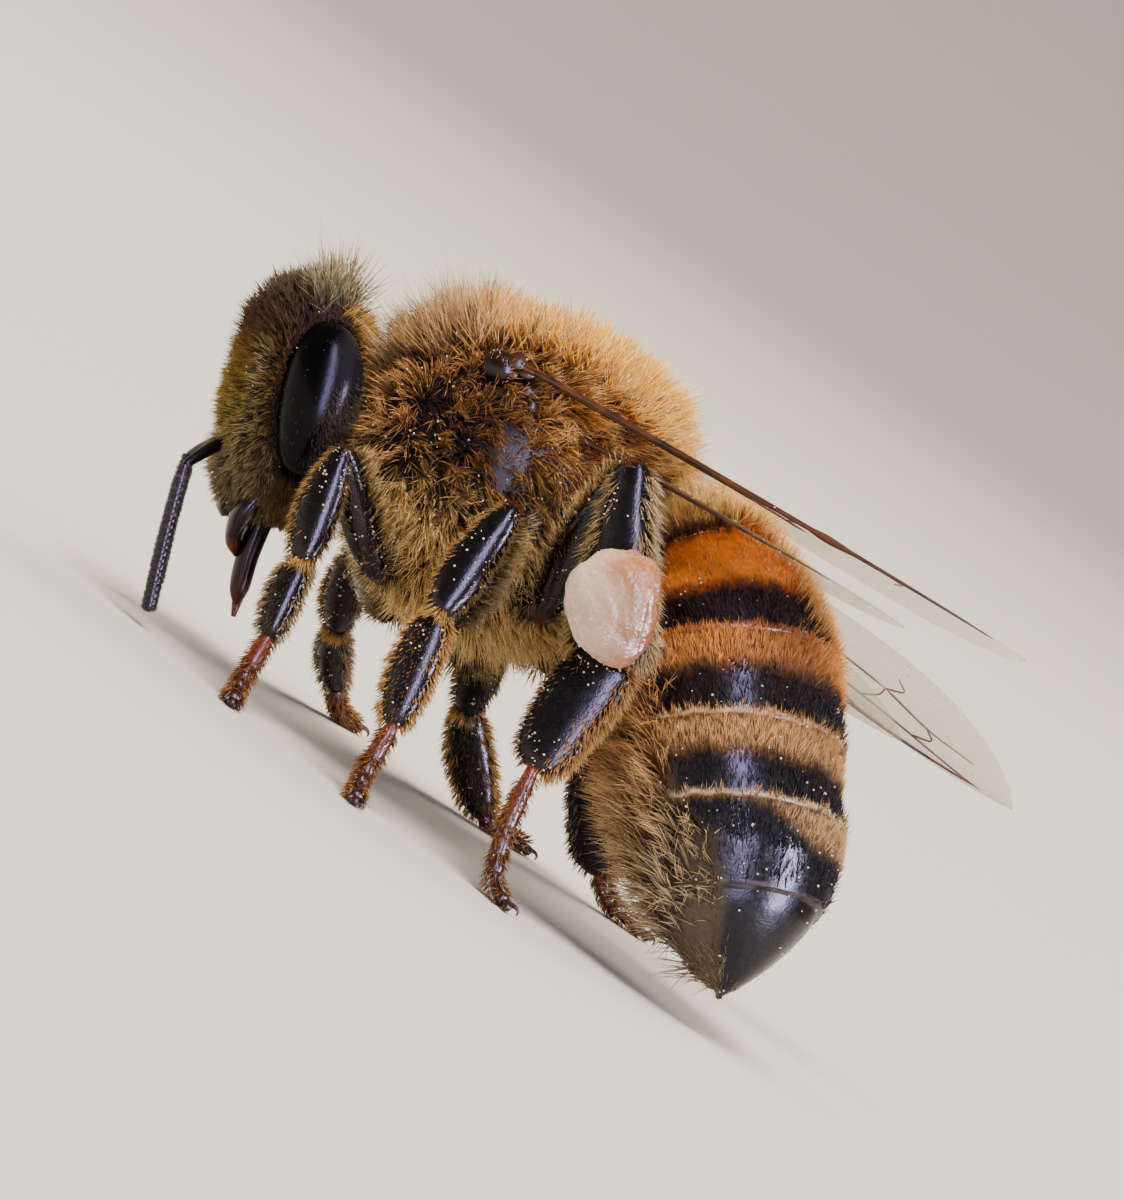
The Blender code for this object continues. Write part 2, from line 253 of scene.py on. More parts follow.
@dataclass(frozen=True)
class Solids:
    """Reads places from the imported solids."""

    nodes: dict

    def points(self, name: str) -> Array:
        """Mesh points of a solid in mm."""
        mesh = self.nodes[name].data
        flat = np.empty(len(mesh.vertices) * 3)
        mesh.vertices.foreach_get("co", flat)
        return flat.reshape(-1, 3) / MM

    def middle(self, name: str) -> Array:
        """Middle of a solid's own box, in mm."""
        points = self.points(name)
        return (points.max(0) + points.min(0)) / 2

    def long_axis(self, name: str) -> Array:
        """Direction in which a solid's points spread most."""
        points = self.points(name)
        return np.linalg.svd(points - points.mean(0), full_matrices=False)[2][0]

    def ends(self, name: str, near: Array) -> tuple[Array, Array]:
        """End points of a long solid on its own axis, the one nearer to a given place first."""
        points = self.points(name)
        reach = points @ self.long_axis(name)
        tips = [points[reach < reach.min() + 0.06].mean(0), points[reach > reach.max() - 0.06].mean(0)]
        tips.sort(key=lambda tip: float(np.linalg.norm(tip - near)))
        return tips[0], tips[1]

    def trunk_axes(self, cup_place: tuple[float, float]) -> Axes:
        """Axes of the trunk: left joins its wing cups, forward is the cross product of left and world Y.

        Args:
            cup_place: how far forward and up the cups sit from the trunk's centre, in mm.
        """
        left, right = self.middle("tegula_left"), self.middle("tegula_right")
        side = unit(left - right)
        ahead = unit(cross(side, (0.0, 1.0, 0.0)))
        ahead = ahead * -np.sign(ahead[0])
        rows = np.array([ahead, side, cross(ahead, side)])
        return Axes((left + right) / 2 - np.array([cup_place[0], 0, cup_place[1]]) @ rows, rows)

    def head_axes(self, eye_place: tuple[float, float]) -> Axes:
        """Axes of the head: left joins the eyes, up is their long axis.

        Args:
            eye_place: how far forward and up the eyes sit from the head's centre, in mm.
        """
        left, right = self.points("eye_left").mean(0), self.points("eye_right").mean(0)
        side, upward = unit(left - right), self.long_axis("eye_left")
        upward = upward * np.sign(upward[2])
        upward = unit(upward - side * (upward @ side))
        rows = np.array([cross(side, upward), side, upward])
        return Axes((left + right) / 2 - np.array([eye_place[0], 0, eye_place[1]]) @ rows, rows)


def in_scene(name: str, data: bpy.types.ID) -> Piece:
    """Links a new object with the given data."""
    made = bpy.data.objects.new(name, data)
    bpy.context.scene.collection.objects.link(made)
    return made


def new_piece(name: str, points: Array, faces: list[Array], colours: str | Array | None = None) -> Piece:
    """Makes a smoothly shaded mesh object from whole arrays.

    Args:
        name: the piece's name.
        points: places in mm, one row each.
        faces: arrays of corner numbers, one row to a face, each array with faces of one size.
        colours: one colour, or one for each point.

    Returns:
        The object, at the origin, in the scene.
    """
    mesh = bpy.data.meshes.new(name)
    mesh.vertices.add(len(points))
    mesh.vertices.foreach_set("co", np.ascontiguousarray(points * MM, dtype=np.float32).ravel())
    corners = np.concatenate([part.ravel() for part in faces]).astype(np.int32)
    sizes = np.concatenate([np.full(len(part), part.shape[1]) for part in faces])
    mesh.loops.add(len(corners))
    mesh.loops.foreach_set("vertex_index", corners)
    mesh.polygons.add(len(sizes))
    mesh.polygons.foreach_set("loop_start", np.concatenate([[0], np.cumsum(sizes)[:-1]]).astype(np.int32))
    mesh.polygons.foreach_set("use_smooth", np.ones(len(sizes), bool))
    mesh.update(calc_edges=True)
    if colours is not None:
        layer = mesh.color_attributes.new(name=MARKINGS, type="FLOAT_COLOR", domain="POINT")
        rgba = np.ones((len(points), 4))
        rgba[:, :3] = linear(colours)
        layer.data.foreach_set("color", rgba.astype(np.float32).ravel())
    return in_scene(name, mesh)


def give_unwrap(piece: Piece, places: Array) -> None:
    """Stores a flat place for each point as a UV map."""
    corners = np.empty(len(piece.data.loops), np.int32)
    piece.data.loops.foreach_get("vertex_index", corners)
    layer = piece.data.uv_layers.new(name="OFBake")
    layer.data.foreach_set("uv", places[corners].astype(np.float32).ravel())


def grid_faces(rows: int, columns: int) -> Array:
    """Four-cornered faces of a grid that closes on itself along its columns."""
    start, turn = np.arange(rows - 1)[:, None] * columns, np.arange(columns)
    near, after = start + turn, start + (turn + 1) % columns
    return stack([near, after, after + columns, near + columns], axis=-1).reshape(-1, 4)


def closed_shells(grids: Array) -> tuple[Array, list[Array]]:
    """Points and faces of closed shells, each a stack of rings with a point at either end.

    Args:
        grids: array of shells x rings x points round x 3.

    Returns:
        The points, and the faces with their outer side out.
    """
    shells, rows, columns = grids.shape[:3]
    poles = stack([grids[:, 0].mean(1), grids[:, -1].mean(1)], axis=1)
    points = np.concatenate([grids.reshape(shells, -1, 3), poles], axis=1)
    size = rows * columns + 2
    quads, turn = grid_faces(rows, columns), np.arange(columns)
    low = stack([np.full(columns, size - 2), (turn + 1) % columns, turn], axis=-1)
    last = (rows - 1) * columns
    high = stack([np.full(columns, size - 1), last + turn, last + (turn + 1) % columns], axis=-1)
    caps = np.concatenate([low, high])
    offset = (np.arange(shells) * size)[:, None, None]
    faces = [(quads[None] + offset), (caps[None] + offset)]
    centre = points.mean(axis=1, keepdims=True)
    a, b, c, d = (points[:, quads[:, corner]] - centre for corner in range(4))
    inside_out = (cross(b - a, d - a) * a + cross(c - b, d - b) * b).sum(axis=(1, 2)) < 0
    for part in faces:
        part[inside_out] = part[inside_out][:, :, ::-1]
    return points.reshape(-1, 3), [part.reshape(-1, part.shape[-1]) for part in faces]


def tubes(paths: Array, radii: Array, sides: int, flat: Array | None = None, squash: float = 1.0) -> Array:
    """Rings along paths: ring(t, a) = path(t) + r(t) (cos a x + squash sin a y), x and y square to the path.

    Args:
        paths: array of tubes x stations x 3, in mm.
        radii: radius at each station, tubes x stations.
        sides: points round each ring.
        flat: direction along which the rings are squashed, for each tube.
        squash: share of the radius left in that direction.

    Returns:
        Grids for closed_shells.
    """
    along = unit(np.gradient(paths, axis=1))
    if flat is None:
        guide = np.array([0.31, 0.52, 0.79])
        guide = np.where(np.abs(along @ guide)[..., None] > 0.97, np.array([0.9, -0.3, 0.1]), guide)
    else:
        guide = np.broadcast_to(flat[:, None], along.shape)
    thin = unit(guide - along * (guide * along).sum(-1, keepdims=True))
    broad = cross(thin, along)
    angle = round_angles(sides)
    ring = cos(angle)[:, None] * broad[:, :, None] + squash * sin(angle)[:, None] * thin[:, :, None]
    return paths[:, :, None] + radii[:, :, None, None] * ring


@dataclass
class Surface:
    """A closed grid of points in mm: rows run from end to end and columns go once round."""

    grid: Array
    colours: Array | None = None
    tile: tuple[float, float, float, float] = (0.0, 0.0, 1.0, 1.0)

    def outward(self) -> Array:
        """Normals at the grid's points, turned away from the rows' middles."""
        down = np.gradient(self.grid, axis=0)
        round_ = (np.roll(self.grid, -1, axis=1) - np.roll(self.grid, 1, axis=1)) / 2
        normals = unit(cross(down, round_))
        away = self.grid - self.grid.mean(axis=1, keepdims=True)
        return normals * np.sign((normals * away).sum(axis=(1, 2), keepdims=True))

    def scatter(self, rng: Chance, count: int, density: Array | None = None) -> "Roots":
        """Random places on the surface: cells drawn by area times density, then a bilinear mix of corners.

        Args:
            rng: source of chance.
            count: how many places.
            density: wanted density at each grid point, or None for an even one.

        Returns:
            The places with their normals and flat places inside this surface's tile of the map.
        """
        grid, normals = self.grid, self.outward()
        right, down = np.roll(grid, -1, axis=1), grid[1:] - grid[:-1]
        area = np.linalg.norm(cross((right - grid)[:-1], down), axis=-1)
        weight = area if density is None else area * clip(density[:-1], 0, None)
        chosen = rng.choice(weight.size, size=count, p=(weight / weight.sum()).ravel())
        row, column = np.divmod(chosen, grid.shape[1])
        after = (column + 1) % grid.shape[1]
        s, t = rng.random((2, count, 1))

        def read(values: Array) -> Array:
            """The bilinear mix of a cell's corners."""
            near = values[row, column] * (1 - t) + values[row, after] * t
            far = values[row + 1, column] * (1 - t) + values[row + 1, after] * t
            return near * (1 - s) + far * s

        along, around = (row + s[:, 0]) / (grid.shape[0] - 1), (column + t[:, 0]) / grid.shape[1]
        left, low, right, high = self.tile
        flat = stack([left + (right - left) * (0.02 + 0.96 * around), low + (high - low) * (0.02 + 0.96 * along)],
                     axis=-1)
        return Roots(read(grid), unit(read(normals)), along, around, flat)

    def piece(self, name: str) -> Piece:
        """Makes the surface a closed mesh with its markings."""
        ends = stack([self.colours[0].mean(0), self.colours[-1].mean(0)])
        colours = np.concatenate([self.colours.reshape(-1, 3), ends])
        return new_piece(name, *closed_shells(self.grid[None]), colours)


@dataclass
class Roots:
    """Where hairs grow: place, normal, shares along and around the surface, and flat place."""

    place: Array
    normal: Array
    along: Array
    around: Array
    flat: Array


@dataclass
class Coat:
    """Collects hairs and makes them closed mesh spikes, in pieces of under 200,000 triangles."""

    name: str
    slot: Slot
    rng: Chance
    batches: list = field(default_factory=list)

    def lean(self, roots: Roots, out: float | Array, way: Array, swirl: float = 0.0, tuft: float = 0.0,
             stray: float = 0.1, grain: float = 0.4) -> Array:
        """Headings: a share of the normal, a common way, a smooth swirl, a pull into tufts and a random stray.

        Args:
            roots: where the hairs grow.
            out: share of the normal.
            way: common direction, or one for each hair.
            swirl: size of the smooth random turn.
            tuft: size of the pull into tufts.
            stray: size of each hair's own random turn.
            grain: distance in mm over which the swirl changes; tufts are half as far apart.

        Returns:
            One vector for each root.
        """
        seed = 11 + 2 * len(self.batches) + len(self.name)
        bent = out * roots.normal + way + swirl * sway(roots.place, grain, seed)
        bent = bent + tuft * gather(roots.place, grain / 2, seed + 1)
        return bent + stray * self.rng.normal(size=roots.normal.shape)

    def grow(self, roots: Roots, heading: Array, length: float | Array, thick: float | Array, base: str | Array,
             tip: str | Array, droop: Array | float = 0.0, stations: tuple[float, ...] = (0.0, 0.5),
             vary: float = 0.25, least: float = 0.62) -> None:
        """Adds one hair for each root: a three-sided spike that ends in a point, kept above the floor.

        Its line is root + L (t heading + t^2 droop) and its radius falls as (1 - t^2)^0.5.

        Args:
            roots: where the hairs grow.
            heading: direction of each hair at its root.
            length: greatest length in mm.
            thick: thickness near the root in mm.
            base: colour at the root.
            tip: colour at the point.
            droop: bend of each hair as a share of its length.
            stations: shares of the length at which the spike has a ring.
            vary: how much lighter or darker single hairs are.
            least: shortest hair as a share of the greatest length.
        """
        count = len(roots.place)
        heading = unit(heading)
        length = (length * self.rng.uniform(least, 1.0, count))[:, None]
        thick = np.broadcast_to(np.asarray(thick, float), (count,))[:, None]
        shade = 1 + vary * self.rng.uniform(-1.0, 1.0, (count, 1))
        side = unit(cross(heading, self.rng.normal(size=(count, 3))))
        other = cross(heading, side)
        turn = round_angles(3)
        ring = cos(turn)[None, :, None] * side[:, None] + sin(turn)[None, :, None] * other[:, None]
        points, colours, flats = [], [], []
        patch = 0.0013 * stack([cos(turn), sin(turn)], axis=-1)
        for share in (*stations, 1.0):
            middle = roots.place + length * (heading * (share - SUNK) + np.asarray(droop) * share ** 2)
            # Each hair's colour runs from base to tip as share^1.3, so its lower part stays dark: partly painted shade
            # of the coat's depth; the pale tips are partly a painted backlit glow.
            colour = mixed(base, tip, np.full(count, share ** 1.3)) * shade
            corners = 3 if share < 1 else 1
            radius = thick / 2 * (1 - share ** 2) ** 0.5
            points.append(middle[:, None] + ring[:, :corners] * radius[:, None])
            colours.append(np.repeat(colour[:, None], corners, axis=1))
            flats.append(roots.flat[:, None] + patch[:corners] * (1 - 0.6 * share) * (share < 1))
        points, colours, flats = (np.concatenate(part, axis=1) for part in (points, colours, flats))
        points[..., 2] = np.maximum(points[..., 2], FLOOR_GAP)
        self.batches.append([points, colours, flats])

    def finish(self) -> None:
        """Makes the hairs into pieces and dresses them."""
        groups: list[list] = [[]]
        triangles = 0
        for batch in self.batches:
            rings = (batch[0].shape[1] - 1) // 3
            each = 4 + 6 * (rings - 1)
            start = 0
            while start < len(batch[0]):
                if triangles + each > MOST_TRIANGLES:
                    groups.append([])
                    triangles = 0
                stop = min(start + (MOST_TRIANGLES - triangles) // each, len(batch[0]))
                groups[-1].append([part[start:stop] for part in batch])
                triangles += each * (stop - start)
                start = stop
        for number, group in enumerate(groups, 1):
            points, colours, flats, quads, threes, first = [], [], [], [], [], 0
            for place, colour, flat in group:
                count, size = place.shape[:2]
                rings = (size - 1) // 3
                offset = first + (np.arange(count) * size)[:, None, None]
                last = 3 * (rings - 1)
                ends = np.array([[0, 2, 1], *[[last + i, last + (i + 1) % 3, size - 1] for i in range(3)]])
                threes.append((ends[None] + offset).reshape(-1, 3))
                if rings > 1:
                    quads.append((grid_faces(rings, 3)[None] + offset).reshape(-1, 4))
                points.append(place.reshape(-1, 3))
                colours.append(colour.reshape(-1, 3))
                flats.append(flat.reshape(-1, 2))
                first += count * size
            name = self.name if len(groups) == 1 else f"{self.name}_{number}"
            faces = [np.concatenate(part) for part in (quads, threes) if part]
            piece = new_piece(name, np.concatenate(points), faces, np.concatenate(colours))
            give_unwrap(piece, np.concatenate(flats))
            dress(piece, HAIR, slot=self.slot)


def add_node(tree: bpy.types.NodeTree, kind: str, settings: dict | None = None, values: dict | None = None,
             links: dict | None = None) -> bpy.types.Node:
    """Adds a shader node.

    Args:
        tree: the material's nodes.
        kind: the node's type.
        settings: its own properties.
        values: numbers and colours for its sockets.
        links: output that feeds each socket.

    Returns:
        The node.
    """
    node = tree.nodes.new(kind)
    for key, value in (settings or {}).items():
        setattr(node, key, value)
    for key, value in (values or {}).items():
        node.inputs[key].default_value = value
    for key, source in (links or {}).items():
        tree.links.new(source, node.inputs[key])
    return node


@dataclass(frozen=True)
class Finish:
    """A finish: colour times a fine mottle, roughness that follows it, and a bump of a real size (mm).

    The colour is the pieces' own markings where colour is None. The bump is cells where facets is set.
    """

    name: str
    slot: Slot
    dark: float = 0.75
    grain: float = 0.08
    roughness: tuple[float, float] = (0.3, 0.5)
    relief: float = 0.004
    bump_grain: float = 0.03
    facets: float = 0.0
    sockets: dict = field(default_factory=dict)
    colour: str | None = None

    def material(self) -> bpy.types.Material:
        """The material, made once."""
        if self.name in bpy.data.materials:
            return bpy.data.materials[self.name]
        made = bpy.data.materials.new(self.name)
        made.use_nodes = True
        tree = made.node_tree
        tree.nodes.clear()
        where = add_node(tree, "ShaderNodeTexCoord").outputs["Object"]

        def pattern(kind: str, size: float, values: dict) -> bpy.types.Node:
            """A pattern in the piece's own places, with features of a size in mm."""
            return add_node(tree, kind, values={"Scale": 1 / (size * MM), **values}, links={"Vector": where})

        def between(low: float, high: float) -> bpy.types.NodeSocket:
            """A value that follows the mottle between two ends."""
            ends = {"From Min": 0.3, "From Max": 0.7, "To Min": low, "To Max": high}
            links = {"Value": mottle.outputs["Fac"]}
            return add_node(tree, "ShaderNodeMapRange", values=ends, links=links).outputs["Result"]

        mottle = pattern("ShaderNodeTexNoise", self.grain, {"Detail": 3.0})
        if self.colour is None:
            base = add_node(tree, "ShaderNodeAttribute", {"attribute_name": MARKINGS}).outputs["Color"]
        else:
            base = add_node(tree, "ShaderNodeRGB").outputs[0]
            base.default_value = (*linear(self.colour), 1.0)
        tinted = add_node(tree, "ShaderNodeVectorMath", {"operation": "SCALE"},
                          links={0: base, "Scale": between(self.dark, 1.0)})
        rough = between(*self.roughness)
        shader = add_node(tree, "ShaderNodeBsdfPrincipled", values=self.sockets,
                          links={"Base Color": tinted.outputs["Vector"], "Roughness": rough})
        if self.relief:
            if self.facets:
                height = pattern("ShaderNodeTexVoronoi", self.facets, {}).outputs["Distance"]
            else:
                height = pattern("ShaderNodeTexNoise", self.bump_grain, {"Detail": 2.0}).outputs["Fac"]
            bump = add_node(tree, "ShaderNodeBump", values={"Strength": 1.0, "Distance": self.relief * MM},
                            links={"Height": height})
            tree.links.new(bump.outputs["Normal"], shader.inputs["Normal"])
        out = add_node(tree, "ShaderNodeOutputMaterial")
        tree.links.new(shader.outputs[0], out.inputs["Surface"])
        return made


# Chitin of the trunk, head and rings: tanned black to amber, with a dull gloss and fine pricks.
SKIN = Finish("chitin, pricked", Slot.BANDED, 0.72, 0.1, (0.34, 0.5), 0.005, 0.035)
# Feathered body hair: soft, light-catching spikes that pale towards their points; their dark lower parts are partly
# painted shade of the coat's depth, and their pale points partly a painted backlit glow.
HAIR = Finish("feathered hair", Slot.TAN, 0.8, 0.05, (0.5, 0.62), 0.0, 0.03,
    sockets={"Specular IOR Level": 0.2})
# Ring chitin: smoother than the trunk's, so the bare tail shows violet-grey glints.
RING_CHITIN = Finish("ring chitin", Slot.BANDED, 0.72, 0.1, (0.2, 0.33), 0.004, 0.035,
    sockets={"Specular IOR Level": 0.26, "Specular Tint": (0.92, 0.88, 1.0, 1.0)})
# Leg chitin: nearly black, smooth and glossy, with a cool violet glint along its ridges.
BLACK_CHITIN = Finish("black leg chitin", Slot.BLACK, 0.7, 0.12, (0.16, 0.27), 0.003, 0.03,
    sockets={"Specular IOR Level": 0.3, "Specular Tint": (0.94, 0.9, 1.0, 1.0)})
# Foot chitin: amber to red-brown and a little clear, so that light warms it.
AMBER_CHITIN = Finish("amber foot chitin", Slot.BROWN, 0.75, 0.08, (0.25, 0.4), 0.003, 0.03,
    sockets={"Subsurface Weight": 0.25, "Subsurface Radius": (1.0, 0.35, 0.15),
    "Subsurface Scale": 0.0001})
# Compound eye: black corneal lenses 0.025 mm across, drawn twice as coarse, under one violet-blue gloss.
CORNEA = Finish("compound cornea", Slot.EYE, 0.9, 0.3, (0.19, 0.26), 0.0009, facets=0.05,
    sockets={"Specular IOR Level": 0.11, "Specular Tint": (0.85, 0.82, 1.0, 1.0)})
# Pollen packed with nectar: a pale moist paste of grains 0.03 mm across, drawn about twice as coarse.
PASTE = Finish("packed pollen paste", Slot.POLLEN, 0.88, 0.12, (0.1, 0.4), 0.018, 0.055,
    sockets={"Subsurface Weight": 0.35, "Subsurface Radius": (1.0, 0.6, 0.4),
    "Subsurface Scale": 0.00015})
# Loose pollen: dry, bright, powdery grains.
GRAIN = Finish("loose pollen", Slot.POLLEN, 0.85, 0.05, (0.5, 0.7), 0.0, colour="#f3ead8")
# Wing membrane: a colourless film with a weak amber tint and a wet gloss.
MEMBRANE = Finish("wing membrane", Slot.WING, 0.9, 0.25, (0.12, 0.28), 0.003, 0.12,
    sockets={"Alpha": 0.3, "Specular IOR Level": 0.7})
# Wing veins: hard brown tubes.
VEIN = Finish("wing vein chitin", Slot.WING, 0.75, 0.1, (0.3, 0.45), 0.002, 0.03)


def dress(piece: Piece, finish: Finish, *nodes: str, slot: Slot | None = None) -> Piece:
    """Gives a piece its finish, lets it ride on the still body and hides the solids that it stands for."""
    piece.data.materials.append(finish.material())
    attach(piece, "root")
    if nodes:
        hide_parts(*nodes)
    LOG.info("made %s", piece.name)
    return piece


@dataclass
class Trunk:
    """Neck, thorax and waist under their coat.

    Each section is (forward, height of its middle, half width, reach up, reach down) in mm.
    """

    axes: Axes
    sections: tuple[tuple[float, ...], ...] = (
        (2.7, -0.05, 0.3, 0.3, 0.3),
        (2.4, -0.05, 0.48, 0.5, 0.52),
        (2.12, 0.0, 0.68, 0.8, 0.85),
        (1.85, 0.0, 1.15, 1.32, 1.4),
        (1.3, 0.0, 1.55, 1.82, 1.92),
        (0.5, 0.0, 1.82, 2.04, 2.28),
        (-0.4, 0.0, 1.84, 2.04, 2.34),
        (-1.1, 0.0, 1.66, 1.88, 2.12),
        (-1.7, 0.05, 1.28, 1.48, 1.52),
        (-2.05, 0.15, 0.85, 0.9, 0.95),
        (-2.3, 0.24, 0.42, 0.42, 0.46),
        (-2.5, 0.28, 0.26, 0.26, 0.28),
        (-2.75, 0.2, 0.24, 0.24, 0.24),
    )
    bare_patch: tuple[float, float, float, float] = (-0.12, 0.3, -10.0, 13.0)  # forward, half, angle, half
    rows: int = 110
    columns: int = 96

    def surface(self) -> Surface:
        """Skin: rings y = w cos a, z = m + r sin a with r the reach up or down, strung along the trunk."""
        table = np.array(self.sections)[::-1]
        ahead = np.linspace(table[0, 0], table[-1, 0], self.rows)
        middle, half, rise, fall = curve_through(table[:, 0], table[:, 1:], ahead).T
        angle = round_angles(self.columns)
        reach = np.where(sin(angle) > 0, rise[:, None], fall[:, None])
        local = stack([np.broadcast_to(ahead[:, None], reach.shape), half[:, None] * cos(angle),
                          middle[:, None] + reach * sin(angle)], axis=-1)
        # A shallow groove parts the shield from its rear lobe, and a seam runs down each flank.
        x, z = local[..., 0], local[..., 2]
        groove = 0.09 * bell(x, -1.05, 0.12) * ramp(0.3, 1.2, z)
        seam = 0.06 * bell(x - 0.75 + 0.25 * z, 0, 0.08) * ramp(-0.2, -1.0, z)
        local = local * (1 - (groove + seam)[..., None] / 2.0 * np.array([0, 1, 1]))
        return Surface(self.axes.out(local), self.markings(local))

    def rise(self, local: Array) -> Array:
        """Angle in degrees from the flank up to the back, for local places."""
        return np.degrees(np.arctan2(local[..., 2], np.abs(local[..., 1]) + 1e-9))

    def bare(self, local: Array) -> Array:
        """Share of bareness round the smooth plate below each wing."""
        ahead, half, angle, spread = self.bare_patch
        off = ((local[..., 0] - ahead) / half) ** 2 + ((self.rise(local) - angle) / spread) ** 2
        return ramp(1.9, 0.6, off)

    def markings(self, local: Array) -> Array:
        """Skin colours: brown-black, bluer on the bare plate, tanned towards the back's rear."""
        tanned = ramp(0.5, 2.0, local[..., 2]) * ramp(0.8, -1.2, local[..., 0])
        return mixed(mixed("#170e08", "#4a2d12", tanned), "#3c343a", self.bare(local))

    def gold_and_painted_light(self, ahead: Array, angle: Array) -> Array:
        """Share of golden hair round the wing root and behind it, painted brighter there: partly the hair's own gold,
        partly painted light that lifts the shadow of the wing and mane.
        """
        return np.exp(-((ahead + 0.95) / 0.7) ** 2 - ((angle - 12) / 26) ** 2)

    def coat(self, skin: Surface, rng: Chance) -> None:
        """Erect mane on the back, tangled hair on the flanks, buff hair below, and short hair under all."""
        local = self.axes.home(skin.grid)
        rise, ahead = self.rise(local), local[..., 0]
        edge = 41 - 10 * (ahead / 1.8) ** 2
        neck = ramp(2.35, 1.9, ahead) * ramp(-2.4, -2.0, ahead)
        strip = bell(rise - 42 - 4 * ahead, 0, 6) * ramp(-1.0, -0.6, ahead) * ramp(0.8, 0.4, ahead)
        back = ramp(edge - 5, edge + 5, rise) * neck * (1 - 0.8 * strip)
        flank = ramp(-62, -48, rise) * ramp(edge + 8, edge - 4, rise) * neck * (1 - 0.85 * self.bare(local))
        belly = ramp(-34, -52, rise) * neck
        ahead_way, up_way = self.axes.rows[0], self.axes.rows[2]

        def sow(count: int, density: Array) -> tuple[Roots, Array, Array, Array]:
            """Roots, how far forward and up they are, and their angles from the flank."""
            roots = skin.scatter(rng, count, density)
            place = self.axes.home(roots.place)
            return roots, place[:, 0], place[:, 2], self.rise(place)

        mane = Coat("trunk_mane", Slot.TAN, rng)
        roots, x, z, angle = sow(15000, back)
        low = ramp(75, 35, angle)
        way = 0.07 * x[:, None] * ahead_way + 0.12 * up_way - 0.22 * (low * ramp(1.0, -1.2, x))[:, None] * ahead_way
        length = curve_through([-2.2, -1.5, 0, 1.2, 2.2], [0.74, 0.86, 0.8, 1.22, 1.05], x)
        length = length * (0.76 + 0.24 * ramp(0.8, 2.0, z)) * (1 + 0.14 * sway(roots.place, 0.35, 2)[:, 0])
        highest = 0.79 + 0.5 * ramp(0.6, 1.4, x) + 0.1 * ramp(-1.2, -1.8, x)
        root = shades({-1.6: "#c07c14", -0.6: "#a06818", 0.6: "#6c4818", 1.8: "#402b10"}, x)
        tip = shades({-1.8: "#ffc240", -0.8: "#ffbe46", 0.3: "#ffbc56", 1.1: "#deac74", 1.9: "#c09a66"}, x)
        bend = 0.1 * gather(roots.place, 0.26, 5) + 0.06 * rng.normal(size=(len(x), 3))
        mane.grow(roots, mane.lean(roots, 1.0, way, 0.08, 0.5, 0.12, 0.62), np.minimum(length, highest), 0.029,
            root * (1 - 0.2 * low)[:, None], tip * (1 - 0.1 * low)[:, None], bend, vary=0.6)
        roots, x, _, _ = sow(1300, back)
        tip = shades({-1.8: "#ffedc0", 0.0: "#f6dcb4", 1.8: "#d9be9c"}, x)
        highest = 0.8 + 0.52 * ramp(0.6, 1.4, x)
        mane.grow(roots, mane.lean(roots, 1.0, 0.1 * up_way, stray=0.17), highest, 0.016, tip * 0.5, tip,
            0.14 * rng.normal(size=tip.shape), (0.0, 0.35, 0.7), least=0.84)

        sides = Coat("trunk_flanks", Slot.TAN, rng)
        roots, x, _, angle = sow(16500, flank)
        high, front = ramp(8, 38, angle), ramp(0.7, 1.7, x)
        way = -ahead_way * (0.52 - 0.34 * front)[:, None] - up_way * (0.24 * ramp(10, -30, angle))[:, None]
        length = 0.66 + 0.12 * ramp(-20, -50, angle) + 0.12 * high + 0.1 * front
        near_bare = ramp(0.62, 0.25, np.hypot(x + 0.68, (angle + 16) / 42))
        root = mixed(shades({-1.6: "#744414", -0.5: "#5c340e", 0.4: "#1c1006", 1.6: "#3a2410"}, x), "#86602a",
                     ramp(-25, -50, angle))
        tip = mixed(shades({-1.6: "#f4c888", -0.8: "#e8aa60", 0.0: "#9a6630", 0.7: "#a27038", 1.7: "#d8a464"}, x),
                    "#ffdc90", ramp(-14, -46, angle))
        tip = mixed(tip, "#e4a860", high * (1 - front)) * (1.1 + 0.25 * front)[:, None]
        # Round the wing root the hair is mixed towards bright gold: partly its own colour, partly painted light over
        # the shadow of the wing and mane.
        gold_and_painted_light = self.gold_and_painted_light(x, angle)
        root, tip = mixed(root, "#ffa02c", gold_and_painted_light), mixed(tip, "#ffdc8c", gold_and_painted_light)
        dim = (1 - 0.5 * near_bare)[:, None]
        bend = 0.1 * sway(roots.place, 0.8, 13) - 0.18 * up_way + 0.03 * rng.normal(size=tip.shape)
        sides.grow(roots, sides.lean(roots, 0.5, way, 0.2, 0.42, 0.07, 0.8), length, 0.018, root * dim, tip * dim,
            bend, (0.0, 0.35, 0.7), vary=0.6, least=0.5)

        roots, x, _, _ = sow(7000, belly)
        tip = shades({-1.8: "#ffe2a4", 1.5: "#ffdf9c"}, x)
        sides.grow(roots, sides.lean(roots, 0.7, -0.34 * ahead_way - 0.14 * up_way, 0.16, 0.26, 0.09, 0.7), 0.68, 0.021,
            "#d8a448", tip, 0.16 * sway(roots.place, 0.4, 19), vary=0.3)

        roots, x, _, angle = sow(9000, (back + flank * 0.8 + belly * 0.5) * (1 - self.bare(local)))
        deep = shades({-1.6: "#6e4212", -0.5: "#4e2f10", 0.6: "#2c1a0a", 1.8: "#281908"}, x)
        # The underfur there is lifted the same way: partly its own gold, partly painted light over the wing's shadow.
        gold_and_painted_light = self.gold_and_painted_light(x, angle)
        deep = mixed(deep * (0.6 + 0.4 * ramp(-5, 45, angle))[:, None], "#a45c14", gold_and_painted_light)
        sides.grow(roots, sides.lean(roots, 1.0, np.zeros(3), stray=0.4), 0.4, 0.036, deep, deep * 1.6,
            stations=(0.0,), least=0.5)
        mane.finish()
        sides.finish()

    def build(self, rng: Chance) -> Surface:
        """Makes the trunk's skin and coat."""
        skin = self.surface()
        dress(skin.piece("trunk_skin"), SKIN, "thorax", slot=Slot.TAN)
        self.coat(skin, rng)
        return skin


